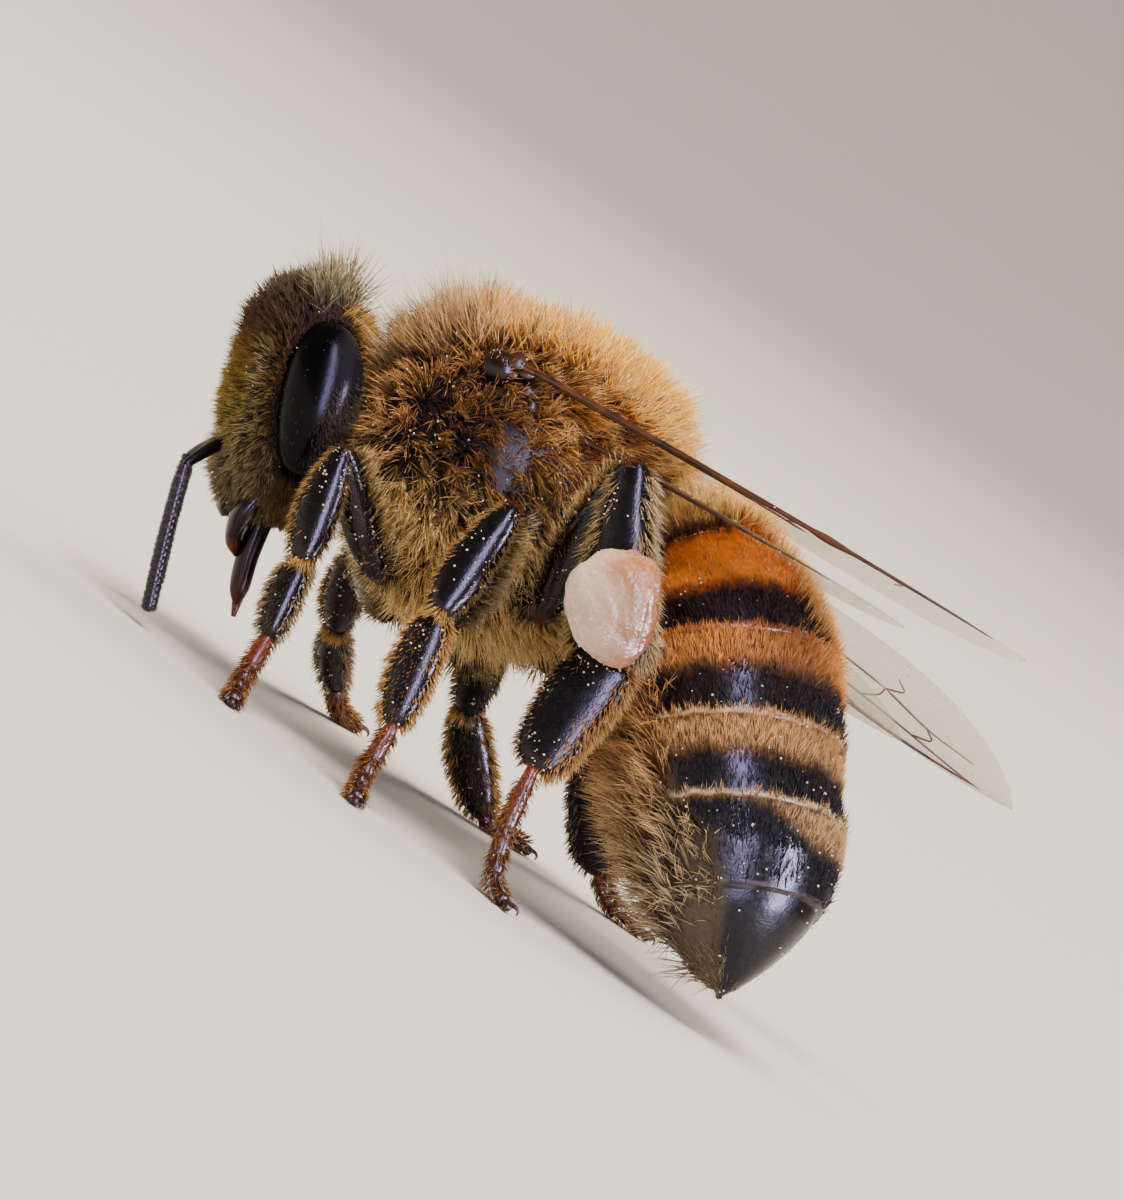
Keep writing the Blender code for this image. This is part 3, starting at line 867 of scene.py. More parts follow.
@dataclass
class Head:
    """Head capsule, eyes, ocelli and their hair.

    Each section is (height, half width, reach forward, reach back) in mm.
    """

    axes: Axes
    sections: tuple[tuple[float, ...], ...] = (
        (-1.82, 0.34, 0.34, 0.1),
        (-1.64, 0.58, 0.58, 0.28),
        (-1.3, 0.84, 0.8, 0.48),
        (-0.8, 1.13, 0.94, 0.66),
        (-0.2, 1.34, 1.0, 0.76),
        (0.4, 1.42, 1.0, 0.76),
        (0.9, 1.35, 0.94, 0.72),
        (1.3, 1.12, 0.8, 0.6),
        (1.6, 0.76, 0.56, 0.44),
        (1.76, 0.36, 0.24, 0.22),
    )
    eye_place: Triple = (-0.19, 1.42, 0.17)
    eye_half: Triple = (0.58, 0.5, 1.17)  # forward, out and up
    rows: int = 96
    columns: int = 110

    def surface(self) -> Surface:
        """Skin: rings y = w cos a, x = r sin a with r the reach forward or back, stacked up the head.

        The face bulges at the shield above the mouth and is grooved round it and up its middle.
        """
        table = np.array(self.sections)
        height = np.linspace(table[0, 0], table[-1, 0], self.rows)
        half, front, back = curve_through(table[:, 0], table[:, 1:], height).T
        angle = round_angles(self.columns)
        sine = np.sign(sin(angle)) * np.abs(sin(angle)) ** 0.85
        reach = np.where(sine > 0, front[:, None], back[:, None]) * sine
        local = stack([reach, half[:, None] * cos(angle), np.broadcast_to(height[:, None], reach.shape)], -1)
        y, z, face = local[..., 1], local[..., 2], local[..., 0] > 0
        from_mouth = np.hypot(y / 0.62, (z + 1.15) / 0.5)
        shield = ramp(1.35, 0.55, from_mouth) * face
        rim = bell(from_mouth, 1.12, 0.12) * face
        crease = bell(y, 0, 0.05) * ramp(-0.4, 0.1, z) * ramp(1.3, 1.0, z) * face
        local[..., 0] += 0.1 * shield - 0.035 * rim - 0.03 * crease
        colours = mixed("#171008", "#3a2210", shield * 0.5 + 0.5 * ramp(-1.4, -1.7, z))
        return Surface(self.axes.out(local), colours)

    def eye(self, side: str) -> Surface:
        """Compound eye: an upright ellipsoid that narrows downwards and bends back a little at its middle.

        x = (1 + 0.12 sin b) cos b cos a, y = cos b sin a, z = sin b, times the half sizes, with b the
        latitude and a the way round. Both ends bend in towards the skull as sin^2 b.
        """
        latitude = np.linspace(-pi / 2, pi / 2, 62)[1:-1, None]
        angle = round_angles(80)
        ahead, out, tall = self.eye_half
        broad = cos(latitude) ** 0.9 * (1 + 0.12 * sin(latitude))
        local = stack([ahead * broad * cos(angle) - 0.07 * cos(latitude) ** 2 + 0.04,
                          out * cos(latitude) ** 0.85 * sin(angle),
                          tall * sin(latitude) + 0 * angle], axis=-1)
        hand = SIDES[side]
        local = local + np.array(self.eye_place)
        local[..., 1] = hand * (local[..., 1] - 0.16 * sin(latitude) ** 2)
        # The hind half of each eye is painted paler and violet-grey: partly painted sky reflection on the lenses,
        # partly the grey haze of the eye's fine hairs.
        colours = mixed("#030203", "#1f1c26", ramp(0.0, -0.32, local[..., 0] - self.eye_place[0]))
        return Surface(self.axes.out(local), colours)

    def off_eye(self, local: Array) -> Array:
        """Distance from an eye's middle, as a share of its outline, seen from the side."""
        ahead, _, tall = self.eye_half
        return np.hypot((local[..., 0] - self.eye_place[0]) / ahead, (local[..., 2] - self.eye_place[2]) / tall)

    def coat(self, skin: Surface, rng: Chance) -> None:
        """Hair of the crown, forehead, face, cheeks and hind head, and the fringe round each eye."""
        grid = self.axes.home(skin.grid)
        x, y, z = grid[..., 0], np.abs(grid[..., 1]), grid[..., 2]
        off, side = self.off_eye(grid), ramp(0.75, 1.05, y)
        clear = 1 - side * ramp(1.02, 0.98, off)
        sockets = clip(ramp(0.12, 0.3, np.hypot(y - 0.28, z + 0.62)) + (x < 0), 0, 1)
        ahead_way, side_way, up_way = self.axes.rows
        fur = Coat("head_coat", Slot.DARK, rng)

        def spread(count: int, density: Array) -> tuple[Roots, Array]:
            """Roots outside the eyes and sockets, and their places on the head."""
            roots = skin.scatter(rng, count, density * clear * sockets)
            return roots, self.axes.home(roots.place)

        # Face: short below, longer upwards, ochre beside the feelers and grey-tan round the mouth.
        roots, place = spread(9500, ramp(0.0, 0.25, x) * ramp(-1.78, -1.5, z) * ramp(1.2, 0.9, z))
        height, wide = place[:, 2], np.abs(place[:, 1])
        drift = curve_through([-1.7, -0.6, 0.3, 1.2], [-0.8, -0.4, 0.0, 0.4], height)
        length = curve_through([-1.7, -1.0, 0.0, 0.8, 1.2], [0.26, 0.34, 0.37, 0.4, 0.42], height)
        root = shades({-1.6: "#241c12", -0.6: "#30240f", 0.2: "#38290c", 0.9: "#1c1208"}, height)
        tip = shades({-1.6: "#7a6a50", -1.0: "#a3906c", -0.4: "#9c8a4e", 0.3: "#94772e", 0.8: "#6a4c26",
                      1.2: "#4c3420"}, height)
        seam = bell(place[:, 0], 0.62, 0.07) * ramp(-0.9, -0.6, height) * ramp(0.9, 0.6, height)
        tip = mixed(tip, "#b8aa84", 0.7 * seam * (wide > 0.7)) * 1.45
        fur.grow(roots, fur.lean(roots, 1.0, up_way * drift[:, None], 0.14, 0.22, 0.13), length, 0.015, root, tip,
            0.12 * sway(roots.place, 0.3, 29), vary=0.55)

        # Forehead: a thick dark brush that stands up.
        roots, place = spread(3000, ramp(-0.05, 0.15, x) * ramp(0.75, 1.1, z))
        fur.grow(roots, fur.lean(roots, 0.9, 0.5 * up_way + 0.1 * ahead_way, 0.1, 0.4, 0.17, 0.34), 0.5, 0.019,
            "#120b06", shades({0.8: "#543a1e", 1.3: "#54402c", 1.8: "#786850"}, place[:, 2]),
            0.1 * rng.normal(size=place.shape), (0.0, 0.4, 0.75), vary=0.55)

        # Crown: long pale hairs behind the simple eyes, fanned up and a little forward.
        roots, place = spread(620, ramp(1.05, 1.35, z) * ramp(0.2, 0.05, x) * ramp(-0.4, -0.25, x))
        way = up_way * 1.1 + ahead_way * 0.22 - 0.5 * side_way * place[:, 1:2] * 0.3
        fur.grow(roots, fur.lean(roots, 0.45, way, 0.16, 0.66, 0.1, 0.44), 0.98, 0.017, "#1c150c",
            mixed("#847a50", "#d4c89c", rng.random(len(place))), 0.14 * rng.normal(size=place.shape),
            (0.0, 0.35, 0.7), least=0.45)

        # Back of the head: golden hair that points back and up.
        roots, place = spread(6000, ramp(-0.1, -0.35, x) * ramp(-1.78, -1.5, z) * ramp(1.6, 1.3, z) * (y > 0.25))
        way = up_way * (0.4 * place[:, 2:3]) - 0.35 * ahead_way
        root = shades({-1.4: "#2c1f0e", 0.0: "#4a320c", 1.4: "#5c4214"}, place[:, 2])
        tip = shades({-1.4: "#8c6e44", 0.0: "#946e26", 1.4: "#c09a44"}, place[:, 2])
        fur.grow(roots, fur.lean(roots, 0.9, way, 0.16, 0.12, 0.12), 0.4, 0.017, root, tip,
            0.15 * sway(roots.place, 0.3, 41), vary=0.35)

        # Cheeks: brown hair combed down from the eye to the jaw.
        low = np.maximum(side, ramp(-1.1, -1.35, z) * ramp(0.45, 0.3, x))
        roots, place = spread(6000, ramp(-0.45, -0.75, z) * low * ramp(-1.82, -1.7, z))
        fur.grow(roots, fur.lean(roots, 0.42, -0.8 * up_way + 0.12 * ahead_way, 0.14, 0.16, 0.12),
            0.38 - 0.24 * ramp(-1.1, -1.65, place[:, 2]), 0.016,
            "#1c1208", shades({-1.6: "#745a36", -0.6: "#4a321c"}, place[:, 2]), vary=0.5)

        # Fringe: dense short velvet round the front and top of each eye, combed out from it.
        bearing = np.degrees(np.arctan2((z - self.eye_place[2]) / self.eye_half[2],
                                        (x - self.eye_place[0]) / self.eye_half[0]))
        band = side * ramp(0.99, 1.03, off) * ramp(1.26, 1.08, off) * ramp(-75, -50, bearing) * ramp(140, 110, bearing)
        roots = skin.scatter(rng, 5000, band)
        place = self.axes.home(roots.place)
        radial = stack([(place[:, 0] - self.eye_place[0]), 0 * place[:, 1],
                           (place[:, 2] - self.eye_place[2]) / 3], axis=-1)
        bearing = np.degrees(np.arctan2(radial[:, 2] * 1.5, radial[:, 0] / 0.58))
        way = self.axes.turn(-0.18 * unit(radial) + np.array([0, 1, 0]) * np.sign(place[:, 1:2]) * 0.6)
        tip = shades({-60: "#80592c", 10: "#8a6038", 50: "#7a5248", 130: "#70523c"}, bearing)
        fur.grow(roots, fur.lean(roots, 0.4, way, stray=0.14), 0.27, 0.014, tip * 0.22, tip, vary=0.4)
        self.eye_hairs(fur, rng)
        fur.finish()

    def eye_hairs(self, fur: Coat, rng: Chance) -> None:
        """Fine pale hairs that stand between the lenses, thicker low on the hind half."""
        for side in SIDES:
            eye = self.eye(side)
            local = self.axes.home(eye.grid) - np.array(self.eye_place) * np.array([1, 0, 1])
            low = ramp(0.0, -0.3, local[..., 0]) * ramp(0.5, -0.5, local[..., 2])
            roots = eye.scatter(rng, 1800, (0.006 + low) * (np.abs(local[..., 1]) > self.eye_place[1] - 0.1))
            roots.flat = 0.02 + 0.2 * roots.flat + np.array([0.0 if side == "left" else 0.75, 0.0])
            fur.grow(roots, fur.lean(roots, 1.0, -0.6 * self.axes.rows[2], stray=0.15), 0.13, 0.009, "#3a342e",
                "#8c8070", stations=(0.0,), least=0.5)

    def ocelli(self) -> Piece:
        """Three glassy domes on the crown: half ellipsoids in a triangle."""
        places = np.array([(0.52, 0.0, 1.48), (0.32, 0.24, 1.6), (0.32, -0.24, 1.6)])
        dome = 0.15 * ball(np.linspace(-1.2, 1.5, 12), 20)[..., [1, 2, 0]]
        return new_piece("simple_eyes", *closed_shells(self.axes.out(places[:, None, None] + dome)), "#120d0a")

    def build(self, rng: Chance) -> Surface:
        """Makes the head's skin, eyes and coat."""
        skin = self.surface()
        dress(skin.piece("head_skin"), SKIN, "head", slot=Slot.DARK)
        for side in SIDES:
            dress(self.eye(side).piece(f"compound_eye_{side}"), CORNEA, f"eye_{side}")
        dress(self.ocelli(), CORNEA)
        self.coat(skin, rng)
        return skin


@dataclass
class Abdomen:
    """Six ringed plates over softer belly plates, on an arc that hangs from the waist (mm).

    Places along it are counted in rings from the waist: 2.5 is the middle of the third ring.
    """

    axes: Axes
    length: float = 7.7
    width: float = 4.4
    depth: float = 3.84
    ring_ends: tuple[float, ...] = (0.9, 2.7, 4.0, 5.18, 6.38, 7.7)
    under_coat: float = 0.13
    lip: float = 0.07
    hump: float = 0.34
    columns: int = 150
    rows_each: int = 44

    def distance(self, place: Array) -> Array:
        """Distance along the arc of a place counted in rings."""
        return np.interp(place, np.arange(7.0), (0.0, *self.ring_ends))

    def axis(self, place: Array) -> tuple[Array, Array]:
        """Middle and upward direction of the arc, by adding up short steps along it.

        The arc droops 44 + 12 sin(pi s^0.85) + 26 s degrees below the trunk's axis at share s of its length.
        """
        steps = np.linspace(0, self.length, 600)
        share = steps / self.length
        droop = np.radians(44 + 12 * sin(pi * share ** 0.85) + 26 * share)
        moves = -stack([cos(droop), 0 * droop, sin(droop)], axis=-1) * (steps[1] - steps[0])
        path = np.concatenate([[[0, 0, 0]], np.cumsum((moves[1:] + moves[:-1]) / 2, axis=0)])
        distance = self.distance(place)
        middle = stack([np.interp(distance, steps, path[:, i]) for i in range(3)], axis=-1)
        lean = np.interp(distance, steps, droop)
        return middle, stack([-sin(lean), 0 * lean, cos(lean)], axis=-1)

    def edge(self, place: Array) -> Array:
        """Angle in degrees from the flank to the side edge of the back plates."""
        return np.interp(place, [0, 2, 3, 4, 4.4, 5.2, 6], [-35, -38, -36, -22, 0, 4, -6])

    def surface(self) -> Surface:
        """Skin: ovals of girth g(s) = (1 - |2s - 1|^2.4)^0.62 (1 - 0.3 s^4), with a lip at each ring's rear.

        The lip and the side edge of the back plates stand a few hundredths of a millimetre proud, and the
        back is fuller than the belly near the tail.
        """
        place = np.concatenate([np.linspace(ring + 0.003, ring + 0.997, self.rows_each) for ring in range(6)])
        share = self.distance(place) / self.length
        girth = np.maximum((1 - np.abs(2 * share - 1) ** 2.4) ** 0.62 * (1 - 0.3 * share ** 4), 0.05)
        angle = round_angles(self.columns)
        rise = np.degrees(np.arcsin(sin(angle)))[None]
        within = np.minimum(place % 1.0, 0.997)
        proud = self.lip * (within ** 2 - 0.6)[:, None] * ramp(0.6, 1.2, place)[:, None]
        last = ramp(4.95, 5.2, place)[:, None]
        plate = ramp(self.edge(place)[:, None] - 3, self.edge(place)[:, None] + 1, rise)
        radial = -self.under_coat + proud * (1 - last) + (plate - 1) * 0.1 * ramp(0.9, 1.2, place)[:, None]
        tail = 1 - 0.14 * ramp(5.4, 6.0, place)[:, None] * cos(np.radians(rise)) ** 2
        wide = np.maximum(girth[:, None] * self.width / 2 * tail + radial, 0.04)
        hump = self.hump * sin(pi * clip(share - 0.6, 0, None) / 0.4)[:, None] * (sin(angle) > 0)
        deep = np.maximum(girth[:, None] * self.depth / 2 + radial + hump, 0.04)
        middle, up = self.axis(place)
        local = middle[:, None] + np.array([0, 1, 0]) * (wide * cos(angle))[..., None]
        local = local + up[:, None] * (deep * sin(angle))[..., None]
        grid = self.axes.out(local)
        return Surface(grid, self.markings(*np.broadcast_arrays(place[:, None], rise), grid))

    def band_place(self, place: Array, rise: Array, grid: Array) -> Array:
        """Place in rings that a band's colour is read at: uneven, and further back on the fifth ring's sides."""
        slant = 0.48 * ramp(62, 14, rise) * ramp(4.0, 4.12, place) * ramp(4.96, 4.9, place)
        return np.minimum(place + slant + 0.03 * sway(grid, 0.5, 47)[..., 0], 6.0)

    def markings(self, place: Array, rise: Array, grid: Array) -> Array:
        """Plate colours by place along the arc and by angle from the flank to the back.

        Args:
            place: counted in rings.
            rise: degrees from the flank (0) up to the back (90) or down to the belly (-90).
            grid: where the points are, which makes the bands' edges uneven.
        """
        band = self.band_place(place, rise, grid)
        back = shades({0.0: "#2c1a0c", 0.85: "#241206", 1.0: "#d4680c", 1.2: "#f07e14", 1.48: "#ea862a",
                       1.57: "#a04c14", 1.66: "#1c100c", 1.93: "#120b0c", 1.95: "#7a3214", 1.975: "#e08a4c",
                       2.0: "#a85c18", 2.4: "#8a5424", 2.52: "#1c110d", 2.9: "#120d0c", 2.94: "#5a3826",
                       2.97: "#d8b890", 3.0: "#8f5c28", 3.42: "#75481f", 3.54: "#16100f", 3.9: "#100d12",
                       3.94: "#6c5040", 3.97: "#dcc4a4", 4.0: "#8a5f34", 4.44: "#5f4126", 4.56: "#0f0c12",
                       4.95: "#0f0c13", 4.985: "#5a5058", 5.0: "#0d0a10", 6.0: "#09070b"}, band)
        plain = place + 0.03 * sway(grid, 0.5, 47)[..., 0]
        belly = shades({0.0: "#2a1a0d", 1.9: "#3a2716", 2.0: "#2a1b10", 2.9: "#40301f", 2.98: "#7c6448",
                        3.03: "#241a12", 3.9: "#3e3024", 3.98: "#807058", 4.05: "#221a14", 4.9: "#4c4034",
                        5.1: "#5a4e3e", 5.8: "#463a2e", 6.0: "#2a201a"}, plain)
        flank = shades({0.0: "#2c1a0c", 1.0: "#9a4a12", 1.7: "#74380f", 2.1: "#7c4c1c", 6.0: "#2a1c12"}, plain)
        mixed_side = mixed(belly, flank, ramp(-60, -30, rise) * ramp(4.2, 3.6, place))
        return mixed(mixed_side, back, ramp(self.edge(place) - 2, self.edge(place) + 12, rise))

    def coat(self, skin: Surface, rng: Chance) -> None:
        """Fuzz of the first ring, felt bands of the next four, and longer hair on flanks and belly."""
        ring = 6 * shares(skin.grid.shape[0])[:, None]
        rise, edge = np.degrees(np.arcsin(sin(round_angles(self.columns)))) + 0 * ring, self.edge(ring)
        on_back = ramp(edge - 6, edge + 14, rise)

        def sow(count: int, density: Array) -> tuple[Roots, Array, Array, Array]:
            """Roots, their places in rings, their angles from the flank and the way to the tail."""
            roots = skin.scatter(rng, count, density)
            place = 6 * roots.along
            rearward = self.axes.turn(cross(np.array([0.0, 1.0, 0.0]), self.axis(place)[1]))
            return roots, place, np.degrees(np.arcsin(sin(2 * pi * roots.around))), rearward

        fur = Coat("abdomen_fuzz", Slot.BANDED, rng)
        roots, place, up, back = sow(6800, ramp(0.2, 0.35, ring) * ramp(1.04, 0.84, ring) * ramp(-60, -30, rise))
        line = ramp(0.88, 0.95, place) * ramp(44, 26, up)
        fur.grow(roots, fur.lean(roots, 0.85, back * 0.35, 0.14, 0.18, 0.12), 0.54 - 0.3 * line, 0.022,
            mixed("#e8a040", "#3c240c", line), mixed("#ffdc90", "#6c441e", line), 0.2 * sway(roots.place, 0.3, 59),
            vary=0.4)

        felt = sum(ramp(number - 0.02, number + 0.04, ring) * ramp(number + 0.54, number + 0.4, ring)
                   for number in (2, 3, 4))
        roots, place, up, back = sow(26000, (felt + (0.05 + 0.13 * ramp(1.5, 1.6, ring))
                                          * ramp(1.0, 1.2, ring) * ramp(5.0, 4.9, ring)) * on_back)
        stops = {1.0: "#d8863a", 1.5: "#d8924c", 1.64: "#2c1a12", 1.95: "#2c1a12", 2.0: "#d08a42", 2.38: "#b87a44",
                 2.52: "#241812", 2.9: "#241812", 2.98: "#c0905a", 3.4: "#b0885c", 3.54: "#1e1616", 3.92: "#221a1a",
                 3.99: "#bc966e", 4.42: "#a4805e", 4.56: "#1c181c", 6.0: "#201c22"}
        shade = shades(stops, self.band_place(place, up, roots.place))
        shade = shade * (1 + 0.16 * sway(roots.place, 0.12, 71)[:, :1])
        # Felt hairs are kept darker at the root, less so on the orange second ring: partly painted shade of the felt's
        # depth.
        deep = 0.5 + 0.45 * ramp(1.7, 1.6, place)[:, None]
        fur.grow(roots, fur.lean(roots, 0.45, back, 0.16, 0.16, 0.14, 0.3), 0.24, 0.019, shade * deep, shade * 1.55,
            stations=(0.0,), vary=0.4, least=0.5)

        roots, place, up, back = sow(1500, ramp(0.8, 1.0, ring) * ramp(2.8, 1.6, ring) * ramp(48, 72, rise))
        pale = shades({0.9: "#ffcf80", 2.0: "#f6b05c"}, place)
        fur.grow(roots, fur.lean(roots, 0.9, back * 0.5, stray=0.14), np.interp(place, [1, 1.8, 2.4, 5],
            [0.5, 0.36, 0.27, 0.2]), 0.016, pale * 0.8, pale, stations=(0.0, 0.5), least=0.5)

        margins = sum(bell(ring - number + 0.03, 0, 0.022) for number in (2, 3, 4))
        roots, place, up, back = sow(2600, margins * on_back)
        pale = shades({2.0: "#b87040", 2.5: "#e6ceaa", 6.0: "#ddd4ca"}, place)
        fur.grow(roots, fur.lean(roots, 0.16, back, stray=0.1), 0.12, 0.012, pale, pale, stations=(0.0,), least=0.45)

        long = Coat("abdomen_side_hair", Slot.BANDED, rng)
        hem = ramp(5.5, 5.0, ring) + 0.4 * ramp(-50, -68, rise) * ramp(5.95, 5.8, ring)
        wide = np.interp(ring, [3.0, 4.2], [22.0, 3.0])
        sparse = ramp(0.5, 0.8, ring) * (1 - 0.5 * ramp(3.4, 4.8, ring)) * hem
        roots, place, up, back = sow(11500, sparse * ramp(edge + wide, edge - 8, rise) * ramp(-96, -60, rise))
        low = ramp(-8, -38, up)
        tip = shades({1.0: "#e4a45c", 3.0: "#e6aa64", 4.4: "#ffdca4", 6.0: "#ffecc8"}, place)
        root = shades({1.0: "#64431c", 3.4: "#5e3e1a", 4.4: "#33200f", 6.0: "#33200f"}, place)
        long.grow(roots, long.lean(roots, 0.55, back * 0.74 - self.axes.rows[2] * 0.26, 0.22, 0.34, 0.11, 0.6),
            0.38 + 0.38 * low, 0.017, root * 2.1, mixed(tip * 0.9, tip * 1.1, low),
            0.12 * sway(roots.place, 0.6, 73), vary=0.5, least=0.45)

        roots, place, up, back = sow(1500, ramp(5.5, 5.8, ring) * ramp(20, 0, rise) + 0.12 * ramp(5.8, 5.9, ring))
        fur.grow(roots, fur.lean(roots, 0.5, back * 0.8, stray=0.14), 0.28, 0.014, "#4a3c2c", "#d8c09a",
            stations=(0.0,), least=0.45)
        fur.finish()
        long.finish()

    def build(self, rng: Chance) -> Surface:
        """Makes the rings' skin and coat."""
        skin = self.surface()
        nodes = [f"abdomen_ring_{number}" for number in range(1, 7)]
        dress(skin.piece("abdomen_skin"), RING_CHITIN, *nodes)
        self.coat(skin, rng)
        return skin


LIMB_FORMS = {  # share of the length: (share of the breadth, share of the thickness)
    "hip": {0.0: (0.9, 0.9), 0.3: (1.0, 1.0), 0.62: (0.78, 0.8), 0.7: (0.66, 0.7), 0.86: (0.72, 0.78), 1.0: (0.5, 0.6)},
    "femur": {0.0: (0.5, 0.55), 0.1: (0.76, 0.8), 0.32: (1.0, 1.0), 0.62: (0.93, 0.92), 0.88: (0.72, 0.78),
        1.0: (0.5, 0.6)},
    "tibia": {0.0: (0.3, 0.45), 0.05: (0.46, 0.65), 0.25: (0.8, 0.88), 0.5: (1.0, 1.0), 0.8: (0.88, 0.95),
        0.93: (0.62, 0.8), 1.0: (0.35, 0.5)},
    "tibia hind": {0.0: (0.24, 0.6), 0.04: (0.38, 0.85), 0.18: (0.52, 1.0), 0.5: (0.8, 0.95), 0.8: (0.99, 0.85),
        0.95: (1.0, 0.8), 1.0: (0.8, 0.5)},
    "basitarsus": {0.0: (0.4, 0.5), 0.08: (0.72, 0.85), 0.35: (1.0, 1.0), 0.7: (0.92, 0.95), 0.92: (0.62, 0.8),
        1.0: (0.35, 0.5)},
    "basitarsus hind": {0.0: (0.5, 0.6), 0.04: (0.84, 0.9), 0.15: (1.0, 1.0), 0.6: (1.0, 0.9), 0.8: (0.91, 0.8),
        0.93: (0.68, 0.65), 1.0: (0.3, 0.4)},
}
LIMB_HALF = {  # half breadth and half thickness in mm
    "fore": {"hip": (0.34, 0.3), "femur": (0.28, 0.23), "tibia": (0.31, 0.2), "basitarsus": (0.24, 0.17)},
    "mid": {"hip": (0.36, 0.32), "femur": (0.3, 0.25), "tibia": (0.33, 0.21), "basitarsus": (0.33, 0.18)},
    "hind": {"hip": (0.42, 0.36), "femur": (0.35, 0.27), "tibia": (0.57, 0.19), "basitarsus": (0.49, 0.18)},
}
HIPS = {  # base of the coxa and end of the trochanter in the trunk's frame, left side (mm)
    "fore": ((1.05, 0.62, -1.55), (1.22, 0.92, -2.35)),
    "mid": ((-0.05, 0.75, -1.8), (-0.14, 1.15, -2.66)),
    "hind": ((-0.95, 0.8, -1.55), (-1.38, 1.3, -2.18)),
}


